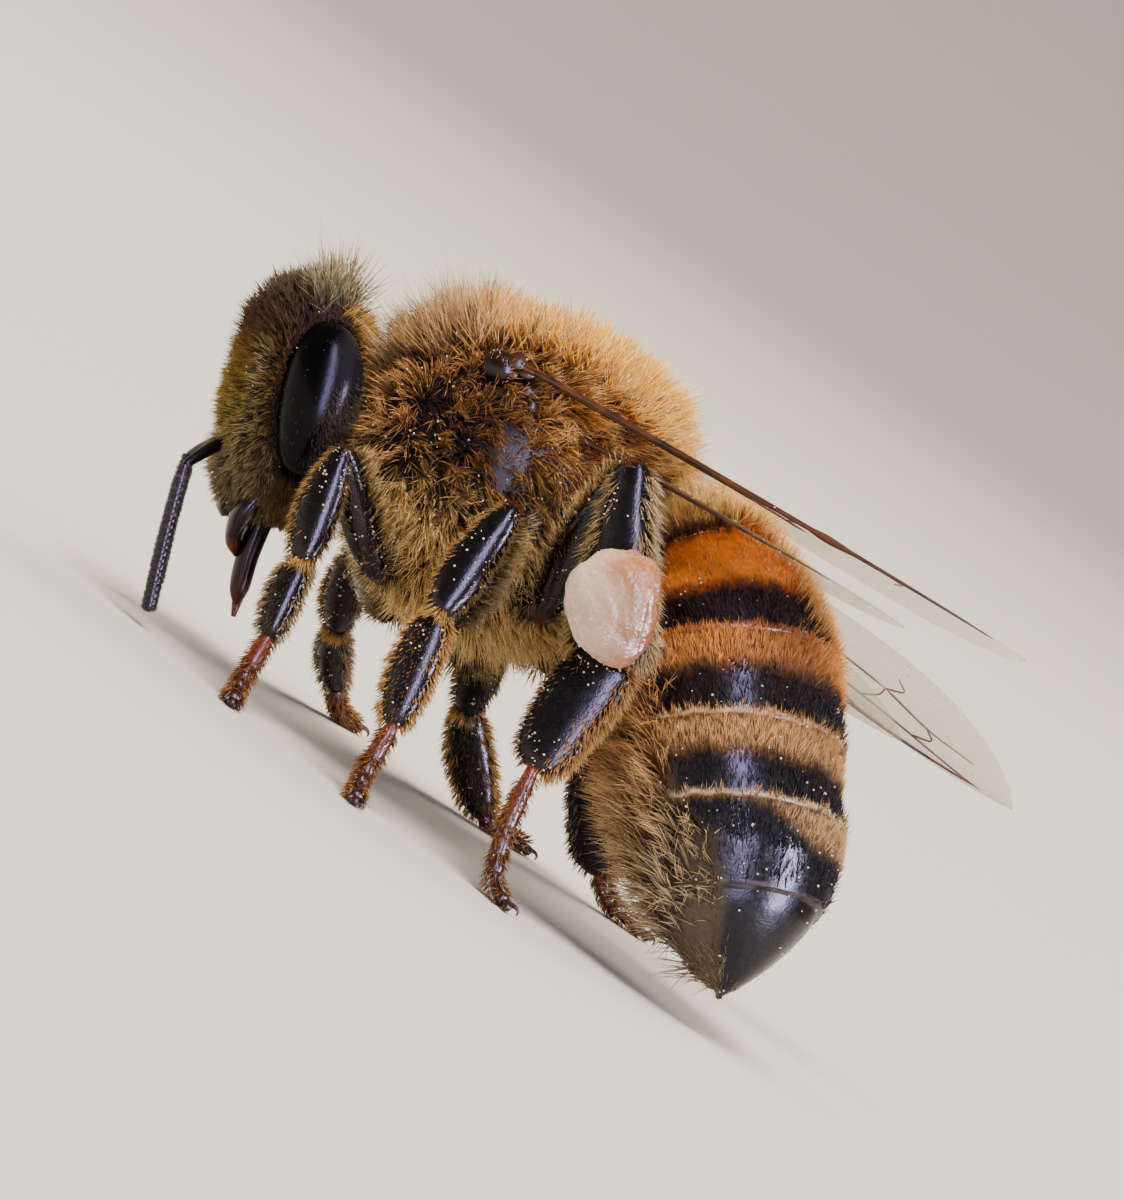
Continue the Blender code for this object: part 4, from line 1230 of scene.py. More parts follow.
@dataclass
class Leg:
    """One leg from its hip to its claws, along the joints of its solids."""

    solids: Solids
    trunk: Axes
    pair: str
    side: str
    toe_radius: float = 0.115
    knuckles: tuple[float, ...] = (0.0, 0.2, 0.34, 0.48, 1.0)

    @property
    def name(self) -> str:
        """The leg's name as its solids have it."""
        return f"{self.pair}_{self.side}"

    def joints(self) -> list[Array]:
        """Hip, end of the hip, knee, ankle, end of the long foot joint and toe, in mm."""
        hand = np.array([1, SIDES[self.side], 1])
        base, end = (self.trunk.out(np.array(place) * hand) for place in HIPS[self.pair])
        found, last = [base, end], end
        for part in ("femur", "tibia", "basitarsus", "tarsus"):
            near, far = self.solids.ends(f"{part}_{self.name}", last)
            if part != "femur":
                found.append((last + near) / 2)
            last = far
        found.append(last)
        return found

    def tile(self, number: int) -> tuple[float, float, float, float]:
        """The joint's own rectangle of the map: a column for each joint and a row for each pair."""
        row = PAIRS.index(self.pair)
        return number / 5, row / 3, (number + 1) / 5, (row + 1) / 3

    def segment(self, part: str, start: Array, end: Array, number: int) -> Surface:
        """One joint: flattened rings square to it, scaled along it by its own form.

        Both flat faces look to the bee's sides. The way round starts at the front edge.
        """
        form = LIMB_FORMS.get(f"{part} {self.pair}", LIMB_FORMS[part])
        half = LIMB_HALF[self.pair][part]
        share = 0.5 - 0.5 * cos(pi * np.linspace(0.03, 0.97, 40))
        scale = curve_through(list(form), list(form.values()), share)
        along = unit(end - start)
        thin = unit(np.array([0.0, 1.0, 0.0]) - along * along[1])
        broad = cross(thin, along)
        broad = broad * -np.sign(broad[0] + 1e-6)
        angle = round_angles(36)
        reach = cos(angle)[None, :, None] * broad * (half[0] * scale[:, :1])[..., None]
        rise = sin(angle)[None, :, None] * thin * (half[1] * scale[:, 1:])[..., None]
        bow = 0.05 * sin(pi * share)[:, None] * broad
        grid = (start + (end - start) * share[:, None] + bow)[:, None] + reach + rise
        return Surface(grid, tile=self.tile(number))

    def foot_path(self, ankle: Array, toe: Array, share: Array) -> Array:
        """Line of the small foot joints: level towards the toe, dropping as (1 - t)^3 to the floor."""
        level = (toe - ankle) * np.array([1, 1, 0])
        drop = ankle[2] - self.toe_radius
        path = ankle + level * share[:, None]
        path[:, 2] = self.toe_radius + drop * (1 - share) ** 3
        return path

    def foot(self, ankle: Array, toe: Array) -> tuple[Array, list[Array]]:
        """Three heart-shaped joints, one slender one, two hooked claws and the pad between them."""
        parts = []
        level = unit((toe - ankle) * np.array([1, 1, 0]))
        for number, (low, high) in enumerate(zip(self.knuckles, self.knuckles[1:])):
            share = np.linspace(low, min(high + 0.03, 0.93), 16)
            within = shares(16)
            if number < 3:
                radius = 0.095 + 0.06 * sin(pi * clip(within, 0, 0.97)) ** 0.6 * (0.35 + 0.65 * within)
            else:
                radius = 0.062 + 0.05 * within ** 1.4 * (1 - 0.5 * ramp(0.9, 1.0, within))
            parts.append(tubes(self.foot_path(ankle, toe, share)[None], radius[None], 16))
        tip = self.foot_path(ankle, toe, np.array([0.93]))[0]
        across = np.array([-level[1], level[0], 0.0])
        within = shares(16)
        for hand in (-1, 1):
            path = tip + level * (0.02 + 0.2 * sin(within * 1.9))[:, None]
            path = path + across * (hand * (0.035 + 0.1 * sin(within * 1.5)))[:, None]
            path[:, 2] = np.maximum(path[:, 2] + 0.05 * sin(within * 3.0) - 0.085 * within ** 1.5, 0.043)
            parts.append(tubes(path[None], (0.038 * (1 - within) ** 0.7 + 0.004)[None], 16))
        path = tip + level * (0.17 * within)[:, None] + np.array([0, 0, -0.03])
        parts.append(tubes(path[None], (0.075 * sin(pi * clip(within, 0.04, 0.97)) ** 0.5)[None], 16))
        points, faces = closed_shells(np.concatenate(parts))
        points[:, 2] = np.maximum(points[:, 2], FLOOR_GAP)
        return points, faces

    def build(self) -> list[tuple[str, Surface]]:
        """Makes the leg's joints and returns their surfaces by part."""
        hip, trochanter, knee, ankle, foot, toe = self.joints()
        ends = {"hip": (hip, trochanter), "femur": (trochanter, knee), "tibia": (knee, ankle),
                "basitarsus": (ankle, foot)}
        surfaces = []
        for number, (part, (start, end)) in enumerate(ends.items()):
            along = unit(end - start)
            surface = self.segment(part, start - along * 0.04, end + along * 0.04, number)
            height = shares(surface.grid.shape[0])[:, None] + np.zeros(surface.grid.shape[:2])
            last = "#b0682c" if part in ("tibia", "basitarsus") else "#43200f"
            surface.colours = shades({0.0: "#3c1a0c", 0.06: "#0e0909", 0.9: "#0e0909", 0.96: "#54260f", 1.0: last},
                                     height)
            nodes = () if part == "hip" else (f"{part}_{self.name}",)
            dress(surface.piece(f"{part}_shell_{self.name}"), BLACK_CHITIN, *nodes)
            surfaces.append((part, surface))
        points, faces = self.foot(foot, toe)
        colours = mixed("#7a340e", "#38160a", ramp(0.9, 0.1, points[:, 2] / max(foot[2], 0.5)))
        dress(new_piece(f"foot_{self.name}", points, faces, colours), AMBER_CHITIN, f"tarsus_{self.name}")
        path = self.foot_path(foot, toe, np.linspace(0.02, 0.9, 30))
        grid = tubes(path[None], np.full((1, 30), 0.13), 20)[0]
        surfaces.append(("foot", Surface(grid, tile=self.tile(4))))
        return surfaces

    def grow(self, fur: Coat, surfaces: list[tuple[str, Surface]], rng: Chance) -> None:
        """Fringes along the edges and short hair on the faces of each joint."""
        for part, surface in surfaces:
            toe_way = unit(surface.grid[-1].mean(0) - surface.grid[0].mean(0))
            styles = LIMB_HAIR.get((part, self.pair), LIMB_HAIR.get((part, ""), ()))
            rows, columns = surface.grid.shape[:2]
            angle, row = round_angles(columns), shares(rows)[:, None]
            for style in (LimbHair(*values) for values in styles):
                low, high = style.reach
                where = style.spread(angle)[None] * ramp(low - 0.04, low + 0.04, row)
                roots = surface.scatter(rng, style.count, where * ramp(high + 0.04, high - 0.04, row))
                fur.grow(roots, fur.lean(roots, 1.0, style.lean * toe_way, stray=0.16), 1.1 * style.length,
                    style.thick, style.base, style.tip,
                    style.droop * toe_way + 0.06 * rng.normal(size=roots.normal.shape),
                    (0.0, 0.5) if style.length > 0.13 else (0.0,), vary=0.3, least=0.55)


@dataclass(frozen=True)
class LimbHair:
    """One kind of hair on a joint: where round it and along it, how many and how long (mm)."""

    edge: Edge
    count: int
    length: float
    base: str
    tip: str
    reach: tuple[float, float] = (0.0, 1.0)
    lean: float = 0.7
    droop: float = 0.15
    thick: float = 0.016

    def spread(self, angle: Array) -> Array:
        """Density round the joint: a power of the cosine for an edge, of the sine for a face."""
        return {
            Edge.FRONT: clip(cos(angle), 0, 1) ** 5,
            Edge.REAR: clip(-cos(angle), 0, 1) ** 5,
            Edge.EDGES: np.abs(cos(angle)) ** 6,
            Edge.FACES: np.abs(sin(angle)) ** 2,
            Edge.ALL: np.ones_like(angle),
        }[self.edge]


LIMB_HAIR = {  # rows of LimbHair for each joint, and for its own pair of legs
    ("hip", ""): ((Edge.ALL, 420, 0.36, "#3c2a12", "#c4a468"),),
    ("femur", ""): ((Edge.ALL, 360, 0.14, "#3a2a16", "#a5834e"),
        (Edge.REAR, 300, 0.36, "#4a3618", "#d0b078", (0.0, 0.8), 0.4)),
    ("femur", "hind"): ((Edge.ALL, 500, 0.13, "#3a2a16", "#9a7c4c"),
        (Edge.EDGES, 460, 0.28, "#4a3618", "#dab880", (0.0, 0.85), 0.5)),
    ("tibia", ""): ((Edge.FRONT, 380, 0.17, "#5c3e16", "#dcb068"),
        (Edge.REAR, 300, 0.13, "#4a3520", "#c09c68"),
        (Edge.ALL, 260, 0.22, "#8a5c1c", "#ffd07c", (0.88, 1.0)),
        (Edge.FACES, 160, 0.06, "#1c1410", "#4a3a2c")),
    ("tibia", "hind"): ((Edge.FRONT, 520, 0.3, "#4a3416", "#e0c080", (0.12, 1.0), 0.55, 0.3),
        (Edge.REAR, 700, 0.3, "#8a6428", "#ffecc0", (0.12, 1.0), 0.55, 0.3),
        (Edge.FACES, 160, 0.06, "#14100e", "#3a3028")),
    ("basitarsus", ""): ((Edge.EDGES, 860, 0.19, "#9a6418", "#ffcc70"),
        (Edge.FACES, 420, 0.08, "#6a4a20", "#b38a4c")),
    ("basitarsus", "fore"): ((Edge.EDGES, 620, 0.18, "#5c4526", "#dcc494"),
        (Edge.FACES, 240, 0.08, "#2c2014", "#8a6c40")),
    ("basitarsus", "hind"): ((Edge.REAR, 980, 0.22, "#a8681e", "#ffd084", (0.0, 1.0), 0.6),
        (Edge.FRONT, 460, 0.14, "#4a3418", "#c09c5c"),
        (Edge.FACES, 520, 0.05, "#120e0c", "#2c2620")),
    ("foot", ""): ((Edge.ALL, 680, 0.14, "#5a2a10", "#d0924c", (0.0, 1.0), 0.8),),
}


@dataclass
class Legs:
    """All six legs with their hair."""

    solids: Solids
    trunk: Axes

    def build(self, rng: Chance) -> list[tuple[str, Surface]]:
        """Makes the legs and returns the surfaces that loose pollen can cling to."""
        kept = []
        for side in SIDES:
            fur = Coat(f"leg_hair_{side}", Slot.BROWN, rng)
            for pair in PAIRS:
                leg = Leg(self.solids, self.trunk, pair, side)
                surfaces = leg.build()
                leg.grow(fur, surfaces, rng)
                kept += [(f"{part} {pair} {side}", surface) for part, surface in surfaces]
            fur.finish()
        return kept


@dataclass
class PollenLoads:
    """Lumps of packed pollen on the outer faces of the hind tibiae (mm)."""

    solids: Solids
    half: Triple = (0.87, 0.46, 0.67)  # along the tibia, outward and across it

    def build(self) -> list[tuple[str, Surface]]:
        """Makes both loads: ellipsoids swollen by smooth waves, a little flat towards the leg."""
        made = []
        for side, hand in SIDES.items():
            node = f"pollen_load_{side}"
            middle = self.solids.middle(node)
            along = self.solids.long_axis(f"tibia_hind_{side}")
            along = along * -np.sign(along[2])
            outward = unit(np.array([0.0, -hand, 0.0]) + along * along[1] * hand)
            across = cross(along, outward)
            lump = ball(np.linspace(-pi / 2, pi / 2, 92)[1:-1], 110)
            lump = np.sign(lump) * np.abs(lump) ** 0.93
            swell = 1 + 0.08 * sway(lump, 1.3, 83)[..., :1] + 0.03 * sway(lump, 0.6, 89)[..., 1:2]
            swell = swell + 0.011 * sway(lump, 0.2, 97)[..., :1]
            local = lump * swell * np.array(self.half)
            pale = ramp(-0.9, 0.9, local[..., 2] / self.half[2] + 0.25 * sway(lump, 1.2, 101)[..., 0])
            load = Surface(middle + local @ np.array([along, outward, across]), mixed("#b87c56", "#e4ccc0", pale))
            dress(load.piece(f"pollen_lump_{side}"), PASTE, node)
            made.append((f"load {side}", load))
        return made


@dataclass
class Feelers:
    """Two elbowed feelers: a scape, a knuckle and ten rings (mm)."""

    solids: Solids
    head: Axes
    scape_radius: float = 0.085
    whip_radius: float = 0.118
    rings: int = 11

    def build(self, rng: Chance) -> None:
        """Makes both feelers: rounded tubes whose radius dips between the rings."""
        share = shares(150)
        fur = Coat("feeler_down", Slot.BLACK, rng)
        for side, hand in SIDES.items():
            _, elbow = self.solids.ends(f"scape_{side}", self.head.origin)
            near, tip = self.solids.ends(f"flagellum_{side}", elbow)
            socket = self.head.out((0.88, 0.26 * hand, -0.68))
            elbow = (elbow + near) / 2
            radius = self.scape_radius * (0.75 + 0.35 * sin(pi * clip(share * 1.05, 0, 1)) ** 0.7)
            radius = radius * (1 - 0.45 * bell(share, 0.08, 0.03)) * ramp(1.02, 0.96, share) ** 0.3
            path = socket + (elbow - socket) * share[:, None]
            path[:, 2] += 0.05 * sin(pi * share)
            scape = closed_shells(tubes(path[None], radius[None], 24))
            dress(new_piece(f"scape_tube_{side}", *scape, "#0f0b0c"), BLACK_CHITIN, f"scape_{side}")
            within = (share * self.rings) % 1.0
            waist = 1 - 0.1 * cos(2 * pi * within) ** 8
            radius = self.whip_radius * (0.78 + 0.22 * ramp(0.0, 0.14, share)) * waist
            radius = radius * (1 - ramp(0.965, 1.0, share) ** 2 * 0.7)
            bend = 0.06 * sin(pi * share)[:, None] * np.array([-0.6, 0.0, 0.4])
            path = elbow + (tip - elbow) * share[:, None] + bend
            left = 0.05 if hand > 0 else 0.55
            whip = Surface(tubes(path[None], radius[None], 26)[0], tile=(left, 0.05, left + 0.4, 0.95))
            joint = bell(np.abs(within - 0.5), 0.5, 0.1) * ramp(0.9, 0.0, share)
            whip.colours = np.repeat(mixed("#2b2630", "#4e464c", joint)[:, None], 26, axis=1)
            dress(whip.piece(f"flagellum_tube_{side}"), BLACK_CHITIN, f"flagellum_{side}")
            roots = whip.scatter(rng, 2400)
            fur.grow(roots, fur.lean(roots, 1.0, 0.7 * unit(tip - elbow), stray=0.2), 0.04, 0.008, "#36323a",
                "#6d6470", stations=(0.0,))
        fur.finish()


@dataclass
class Mouth:
    """Upper lip, two jaws, and the tongue's sheath with its palps, hanging below the face (mm)."""

    solids: Solids
    head: Axes

    def tube(self, name: str, path: Array, radius: Array, squash: float, finish: Finish, colours: dict,
             *nodes: str) -> None:
        """One tapered tube in head places, coloured along its length."""
        share = shares(60)
        stations = shares(len(path))
        line = self.head.out(curve_through(stations, path, share))
        size = curve_through(shares(len(radius)), radius, share)
        grid = tubes(line[None], size[None], 24, self.head.rows[:1], squash)[0]
        surface = Surface(grid, np.repeat(shades(colours, share)[:, None], 24, axis=1))
        dress(surface.piece(name), finish, *nodes)

    def build(self) -> None:
        """Makes the mouthparts."""
        self.tube("upper_lip", [(0.72, 0, -1.5), (0.76, 0, -1.66), (0.7, 0, -1.84)], (0.34, 0.38, 0.2), 0.3,
            BLACK_CHITIN, {0: "#1a0f0a", 0.8: "#241009", 1: "#5a2a14"})
        for side, hand in SIDES.items():
            self.tube(f"jaw_{side}", [(0.3, 0.62 * hand, -1.42), (0.48, 0.56 * hand, -1.8),
                (0.5, 0.34 * hand, -2.1), (0.4, 0.16 * hand, -2.34)], (0.24, 0.26, 0.22, 0.18, 0.07), 0.62,
                BLACK_CHITIN, {0: "#120c0a", 0.5: "#1c0f0a", 0.75: "#6b2b12", 1: "#2a120a"},
                f"mandible_{side}")
            self.tube(f"sheath_{side}", [(0.16, 0.1 * hand, -1.7), (0.22, 0.13 * hand, -2.3),
                (0.22, 0.12 * hand, -2.8), (0.2, 0.05 * hand, -3.05)], (0.25, 0.22, 0.19, 0.08), 0.8,
                BLACK_CHITIN, {0: "#150b07", 0.5: "#24110a", 0.8: "#4a1c0c", 1: "#33150a"})
            self.tube(f"palp_{side}", [(0.2, 0.24 * hand, -1.9), (0.28, 0.26 * hand, -2.4),
                (0.3, 0.2 * hand, -2.82)], (0.05, 0.045, 0.02), 1.0, AMBER_CHITIN,
                {0: "#2a140a", 1: "#7a3c18"})
        self.tube("tongue", [(0.16, 0, -1.75), (0.2, 0, -2.6), (0.2, 0, -3.26)], (0.15, 0.13, 0.11, 0.035), 1.0,
            AMBER_CHITIN, {0: "#2a130a", 0.7: "#4a200e", 0.9: "#7a3214", 1: "#5a2410"}, "proboscis")


FORE_VEINS = {  # name: ((share along, share across, radius in mm), ...)
    "edge": ((0.0, 0.14, 0.06), (0.08, 0.03, 0.052), (0.3, 0.015, 0.045), (0.6, 0.02, 0.038), (0.78, 0.03, 0.026),
        (0.93, 0.08, 0.016)),
    "second": ((0.02, 0.34, 0.06), (0.1, 0.22, 0.05), (0.22, 0.18, 0.042), (0.4, 0.13, 0.034), (0.56, 0.06, 0.028)),
    "stigma": ((0.585, 0.04, 0.03), (0.62, 0.05, 0.06), (0.66, 0.05, 0.045), (0.69, 0.04, 0.015)),
    "median": ((0.03, 0.5, 0.045), (0.12, 0.38, 0.038), (0.22, 0.31, 0.03), (0.33, 0.27, 0.026),
        (0.42, 0.36, 0.022), (0.5, 0.4, 0.02), (0.6, 0.41, 0.018), (0.7, 0.4, 0.018)),
    "basal": ((0.33, 0.27, 0.02), (0.37, 0.22, 0.02), (0.42, 0.12, 0.02), (0.46, 0.05, 0.02)),
    "anal": ((0.03, 0.72, 0.035), (0.12, 0.66, 0.03), (0.3, 0.62, 0.024), (0.42, 0.6, 0.02), (0.53, 0.62, 0.016)),
    "cross": ((0.25, 0.29, 0.016), (0.27, 0.45, 0.016), (0.3, 0.62, 0.016)),
    "recurrent": ((0.5, 0.4, 0.016), (0.515, 0.5, 0.016), (0.49, 0.61, 0.016)),
    "sector": ((0.46, 0.05, 0.02), (0.5, 0.14, 0.02), (0.56, 0.2, 0.02), (0.66, 0.19, 0.018),
        (0.76, 0.17, 0.018), (0.86, 0.13, 0.016), (0.94, 0.08, 0.014)),
    "cubital_1": ((0.56, 0.2, 0.016), (0.57, 0.3, 0.016), (0.58, 0.41, 0.016)),
    "cubital_2": ((0.68, 0.19, 0.016), (0.7, 0.3, 0.016), (0.7, 0.4, 0.016)),
    "cubital_3": ((0.79, 0.16, 0.016), (0.82, 0.25, 0.016), (0.8, 0.34, 0.016)),
    "outer": ((0.7, 0.4, 0.018), (0.8, 0.34, 0.016), (0.86, 0.37, 0.012), (0.9, 0.42, 0.01)),
    "recurrent_2": ((0.7, 0.4, 0.016), (0.725, 0.51, 0.014), (0.7, 0.62, 0.012)),
}
HIND_VEINS = {
    "edge": ((0.0, 0.15, 0.045), (0.15, 0.05, 0.04), (0.5, 0.03, 0.03), (0.66, 0.06, 0.018)),
    "radial": ((0.02, 0.3, 0.035), (0.2, 0.18, 0.028), (0.4, 0.15, 0.022), (0.6, 0.15, 0.018), (0.8, 0.22, 0.012)),
    "median": ((0.04, 0.46, 0.028), (0.25, 0.44, 0.022), (0.45, 0.5, 0.018), (0.72, 0.56, 0.012)),
    "anal": ((0.04, 0.62, 0.024), (0.2, 0.68, 0.018), (0.38, 0.8, 0.012)),
    "cross": ((0.42, 0.15, 0.014), (0.44, 0.32, 0.014), (0.45, 0.5, 0.014)),
}


@dataclass
class Wing:
    """A membrane stretched over veins, in the outline of its solid (mm, degrees)."""

    trunk: Axes
    name: str
    side: str
    length: float
    breadth: float
    root: Triple
    spread: float
    droop: float
    veins: dict
    roof: float = 9.0
    film: float = 0.022

    def at(self, share: Array, across: Array, lift: Array) -> Array:
        """World place on the wing.

        The chord is b (s + 0.06)^0.7 (1 - s^4.2)^0.85 behind a leading edge bowed by
        l (0.022 sin(pi s) - 0.06 s^9), and the blade arches a little across its chord.
        """
        spread, droop, roof = np.radians([self.spread, self.droop, self.roof])
        hand = SIDES[self.side]
        along = np.array([-cos(droop) * cos(spread), hand * cos(droop) * sin(spread), -sin(droop)])
        out = np.array([0, hand * cos(roof), -sin(roof)])
        out = unit(out - along * (out @ along))
        normal = cross(along, out) * -hand
        chord = self.breadth * (share + 0.06) ** 0.7 * (1 - clip(share, 0, 1) ** 4.2) ** 0.85
        lead = self.length * (0.022 * sin(pi * share) - 0.06 * share ** 9)
        arch = 0.16 * sin(pi * across) * chord / self.breadth - 0.05 * sin(3 * pi * across) * (1 - share)
        local = np.array(self.root) * np.array([1, hand, 1]) + along * (share * self.length)[..., None]
        local = local + out * (lead - across * chord)[..., None] + normal * (arch + lift)[..., None]
        return self.trunk.out(local)

    def build(self) -> Surface:
        """Makes the membrane and its veins."""
        share = (0.5 - 0.5 * cos(pi * np.linspace(0.008, 0.985, 110)))[:, None]
        angle = round_angles(60)
        across = (1 - cos(angle)) / 2 * 0.985 + 0.005
        lift = self.film / 2 * sin(angle)
        share, across, lift = np.broadcast_arrays(share, across, lift)
        colours = mixed("#7a4410", "#c4b490", ramp(0.0, 0.5, share) * ramp(0.0, 0.3, across))
        film = Surface(self.at(share, across, lift), colours)
        dress(film.piece(f"{self.name}_film_{self.side}"), MEMBRANE, f"{self.name}_{self.side}")
        stations = shares(48)
        paths, radii = [], []
        for points in self.veins.values():
            line = curve_through(shares(len(points)), points, stations)
            paths.append(self.at(line[:, 0], line[:, 1], 0 * stations))
            radii.append(line[:, 2] * clip(np.minimum(stations, 1 - stations) * 20 + 0.3, 0, 1))
        points, faces = closed_shells(tubes(np.array(paths), np.array(radii), 8))
        colours = mixed("#1e0f07", "#66340f", 0.5 + 0.5 * sway(points, 0.3, 7)[:, 0])
        dress(new_piece(f"{self.name}_veins_{self.side}", points, faces, colours), VEIN)
        return film


@dataclass
class Wings:
    """Four wings, the plates over their roots and the hinges that carry them."""

    trunk: Axes
    cup_place: Triple = (0.46, 1.8, 1.0)
    cup_half: Triple = (0.36, 0.26, 0.28)

    def cup(self, side: str) -> None:
        """Domed plate over a wing root: an ellipsoid drawn out backwards."""
        local = ball(np.linspace(-1.45, 1.45, 30), 40) * np.array(self.cup_half)
        local = (local + np.array(self.cup_place)) * np.array([1, SIDES[side], 1])
        colours = mixed("#1c100a", "#3c2010", ramp(0.1, -0.3, local[..., 0] - self.cup_place[0]))
        plate = Surface(self.trunk.out(local), colours).piece(f"wing_cup_{side}")
        dress(plate, BLACK_CHITIN, f"tegula_{side}", slot=Slot.BROWN)

    def hinges(self, side: str) -> None:
        """Small hard rods from the flank to the roots of both wings."""
        hand = np.array([1, SIDES[side], 1])
        rods = np.array([((0.3, 1.4, 0.95), (0.22, 2.05, 1.12)), ((0.05, 1.45, 0.9), (0.05, 1.98, 1.05)),
                         ((-0.2, 1.5, 0.62), (-0.14, 1.88, 0.56)), ((-0.05, 1.5, 0.75), (-0.02, 1.9, 0.8))])
        share = shares(14)[:, None]
        paths = self.trunk.out((rods[:, :1] + (rods[:, 1:] - rods[:, :1]) * share) * hand)
        radii = np.broadcast_to(0.15 - 0.05 * sin(pi * share[:, 0]), paths.shape[:2])
        dress(new_piece(f"wing_hinges_{side}", *closed_shells(tubes(paths, radii, 12)), "#3c1f0e"), VEIN)

    def build(self) -> list[tuple[str, Surface]]:
        """Makes the wings and returns their films."""
        angles = {("forewing", "left"): (8.0, 14.0), ("forewing", "right"): (20.0, 14.5),
                  ("hindwing", "left"): (5.0, 13.0), ("hindwing", "right"): (16.0, 14.0)}
        films = []
        for side in SIDES:
            self.cup(side)
            self.hinges(side)
            for name, length, breadth, root, veins in (
                    ("forewing", 9.0, 4.1, (0.25, 2.05, 1.12), FORE_VEINS),
                    ("hindwing", 6.6, 2.7, (-0.1, 1.85, 0.55), HIND_VEINS)):
                wing = Wing(self.trunk, name, side, length, breadth, root, *angles[name, side], veins)
                films.append((f"{name} {side}", wing.build()))
        return films


@dataclass
class LoosePollen:
    """Single grains that cling to hairs, legs and wings: twenty-sided balls up to 0.04 mm across."""

    radius: float = 0.0135

    def build(self, places: Array, rng: Chance) -> None:
        """Makes all grains in one piece: each is the same ball, sized by chance."""
        golden = (1 + 5 ** 0.5) / 2
        corners = unit(np.array([(-1, golden, 0), (1, golden, 0), (-1, -golden, 0), (1, -golden, 0),
                                 (0, -1, golden), (0, 1, golden), (0, -1, -golden), (0, 1, -golden),
                                 (golden, 0, -1), (golden, 0, 1), (-golden, 0, -1), (-golden, 0, 1)], float))
        sides = np.array([(0, 11, 5), (0, 5, 1), (0, 1, 7), (0, 7, 10), (0, 10, 11), (1, 5, 9), (5, 11, 4),
                          (11, 10, 2), (10, 7, 6), (7, 1, 8), (3, 9, 4), (3, 4, 2), (3, 2, 6), (3, 6, 8),
                          (3, 8, 9), (4, 9, 5), (2, 4, 11), (6, 2, 10), (8, 6, 7), (9, 8, 1)])
        size = self.radius * rng.uniform(0.5, 1.5, (len(places), 1, 1))
        points = places[:, None] + corners[None] * size
        points[..., 2] = np.maximum(points[..., 2], FLOOR_GAP)
        faces = sides[None] + (12 * np.arange(len(places)))[:, None, None]
        dress(new_piece("loose_pollen", points.reshape(-1, 3), [faces.reshape(-1, 3)]), GRAIN)


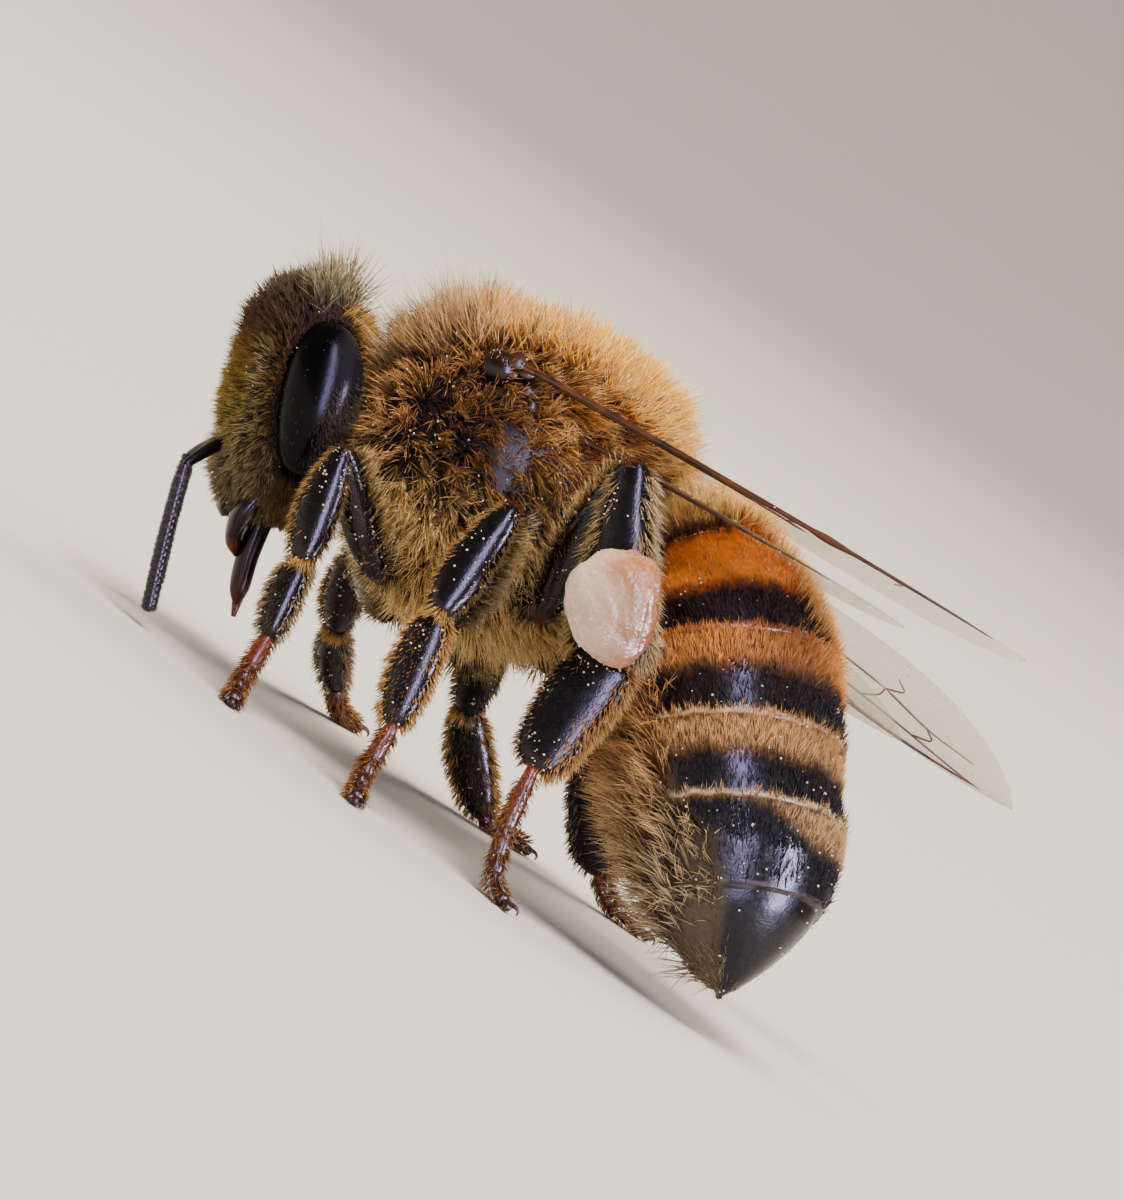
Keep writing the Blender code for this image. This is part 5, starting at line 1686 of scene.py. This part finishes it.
@dataclass
class Studio:
    """A pale bowl for a floor, soft lights and the camera (mm and degrees)."""

    target: Triple = (-0.33, 0.0, 3.85)
    azimuth: float = 9.0
    elevation: float = 4.0
    roll: float = 35.0
    distance: float = 150.0
    tall: float = 17.83
    light_distance: float = 260.0

    def view(self) -> tuple[Array, Array, Array]:
        """Right, up and backward directions of the camera, rolled about its own line of sight."""
        turn, lift, roll = np.radians([self.azimuth, self.elevation, self.roll])
        right = np.array([cos(turn), sin(turn), 0])
        up = np.array([-sin(turn) * sin(lift), cos(turn) * sin(lift), cos(lift)])
        back = np.array([sin(turn) * cos(lift), -cos(turn) * cos(lift), sin(lift)])
        return cos(roll) * right + sin(roll) * up, cos(roll) * up - sin(roll) * right, back

    def stand(self, name: str, data: bpy.types.ID, right: Array, up: Array, back: Array, distance: float) -> Piece:
        """Links a camera or light with the given directions that stands back from the target."""
        turn = Matrix(np.column_stack([right, up, back]).tolist()).to_4x4()
        turn.translation = (np.array(self.target) + distance * back) * MM
        made = in_scene(name, data)
        made.matrix_world = turn
        return made

    def camera(self) -> None:
        """Sets the camera up at its distance from the target, framing the given height there."""
        data = bpy.data.cameras.new("camera")
        data.sensor_width = 36.0
        data.lens = data.sensor_width * self.distance / self.tall
        data.clip_start, data.clip_end = 0.005, 20.0
        bpy.context.scene.camera = self.stand("camera", data, *self.view(), self.distance)

    def floor(self) -> None:
        """Flat disc of radius 2 + 900 t^1.5 that rises smoothly to 420 mm from t = 0.45 to 1."""
        share, angle = shares(60)[:, None], round_angles(96)
        radius = 2.0 + 900.0 * share ** 1.5
        height = 420.0 * ramp(0.45, 1.0, share) + 0 * angle
        points = stack([radius * cos(angle), radius * sin(angle), height], axis=-1)
        faces = [grid_faces(60, 96), np.arange(96)[None, ::-1]]
        bowl = new_piece("floor", points.reshape(-1, 3), faces)
        made = bpy.data.materials.new("pale plaster floor")
        made.use_nodes = True
        shader = made.node_tree.nodes["Principled BSDF"]
        shader.inputs["Base Color"].default_value = (*linear("#cbcac6"), 1.0)
        shader.inputs["Roughness"].default_value = 0.9
        bowl.data.materials.append(made)

    def light(self, name: str, direction: Array, size: tuple[float, float], watts: float, colour: str,
              glow: Glow, lean: float = 0.0) -> None:
        """One oblong soft light that faces the target.

        Args:
            name: the light's name.
            direction: where it stands, seen from the target.
            size: width and height in mm, with the height upright in the view.
            watts: its power.
            colour: its colour as a hex code.
            glow: what it does.
            lean: degrees that its top leans to the right in the view.
        """
        data = bpy.data.lights.new(name, "AREA")
        data.shape, data.size, data.size_y, data.energy = "RECTANGLE", size[0] * MM, size[1] * MM, watts
        data.color = linear(colour)
        back = unit(direction)
        side = unit(cross(self.view()[1], back))
        side = cos(np.radians(lean)) * side - sin(np.radians(lean)) * cross(back, side)
        lamp = self.stand(name, data, side, cross(back, side), back, self.light_distance)
        lamp.visible_glossy, lamp.visible_diffuse = glow is Glow.GLINT, glow is Glow.SOFT

    def build(self) -> None:
        """Makes floor, lights, surroundings and camera."""
        self.camera()
        self.floor()
        right, up, back = self.view()
        self.light("key", 0.78 * up + 0.28 * back + 0.44 * right, (130.0, 130.0), 1.5, "#fff1dc", Glow.SOFT)
        self.light("strip", 0.94 * back + 0.28 * right + 0.05 * up, (66.0, 800.0), 5.6, "#d8d0ff", Glow.GLINT, 18.0)
        self.light("low", 0.44 * back + 0.83 * right - 0.34 * up, (56.0, 220.0), 3.8, "#e4deff", Glow.GLINT, 14.0)
        self.light("edge", 0.45 * up - 0.55 * back + 0.7 * right, (160.0, 160.0), 0.8, "#fff0d8", Glow.SOFT)
        world = bpy.data.worlds.new("soft surroundings")
        world.use_nodes = True
        shade = world.node_tree.nodes["Background"]
        shade.inputs["Color"].default_value = (*linear("#e4e3e2"), 1.0)
        shade.inputs["Strength"].default_value = 0.32
        bpy.context.scene.world = world


@dataclass
class HoneyBee:
    """The worker bee, built from the trunk outwards over its solids."""

    nodes: dict
    seed: int = 7

    def cling(self, surfaces: dict[str, Surface], rng: Chance) -> Array:
        """Places of loose grains: on each surface, lifted by chance through its coat."""
        places = []
        for name, surface in surfaces.items():
            count, depth = GRAINS.get(name, GRAINS.get(name.split(" ")[0], (0, 0.0)))
            if count:
                roots = surface.scatter(rng, count, 0.08 + ramp(0.0, 0.9, sway(surface.grid, 0.35, 7)[..., 0]))
                lift = depth * rng.random((count, 1)) ** 0.6 + 0.008
                places.append(roots.place + roots.normal * lift)
        return np.concatenate(places)

    def build(self) -> None:
        """Makes every piece."""
        solids = Solids(self.nodes)
        rng = np.random.default_rng(self.seed)
        trunk = solids.trunk_axes((0.5, 1.0))
        head = solids.head_axes((-0.19, 0.17))
        surfaces = {"trunk": Trunk(trunk).build(rng), "head": Head(head).build(rng)}
        surfaces["abdomen"] = Abdomen(trunk.moved((-2.46, 0.0, 0.3), -4.5)).build(rng)
        surfaces |= dict(Legs(solids, trunk).build(rng))
        surfaces |= dict(PollenLoads(solids).build())
        Feelers(solids, head).build(rng)
        Mouth(solids, head).build()
        surfaces |= dict(Wings(trunk).build())
        LoosePollen().build(self.cling(surfaces, rng), rng)


GRAINS = {  # surface: (number of grains, depth of the coat that holds them in mm)
    "trunk": (560, 0.56), "head": (110, 0.24), "abdomen": (560, 0.05), "hip": (14, 0.2), "femur": (70, 0.03),
    "tibia": (80, 0.02), "tibia hind left": (150, 0.05), "basitarsus": (44, 0.02), "basitarsus hind left": (130, 0.01),
    "foot": (8, 0.03), "load": (26, 0.0), "forewing": (70, 0.0), "hindwing": (40, 0.0),
}


def main() -> None:
    """Loads the frame and builds the bee and its studio."""
    logging.basicConfig(level=logging.INFO, format="%(message)s")
    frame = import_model()
    HoneyBee(frame["nodes"]).build()
    Studio().build()


if __name__ == "__main__":
    main()
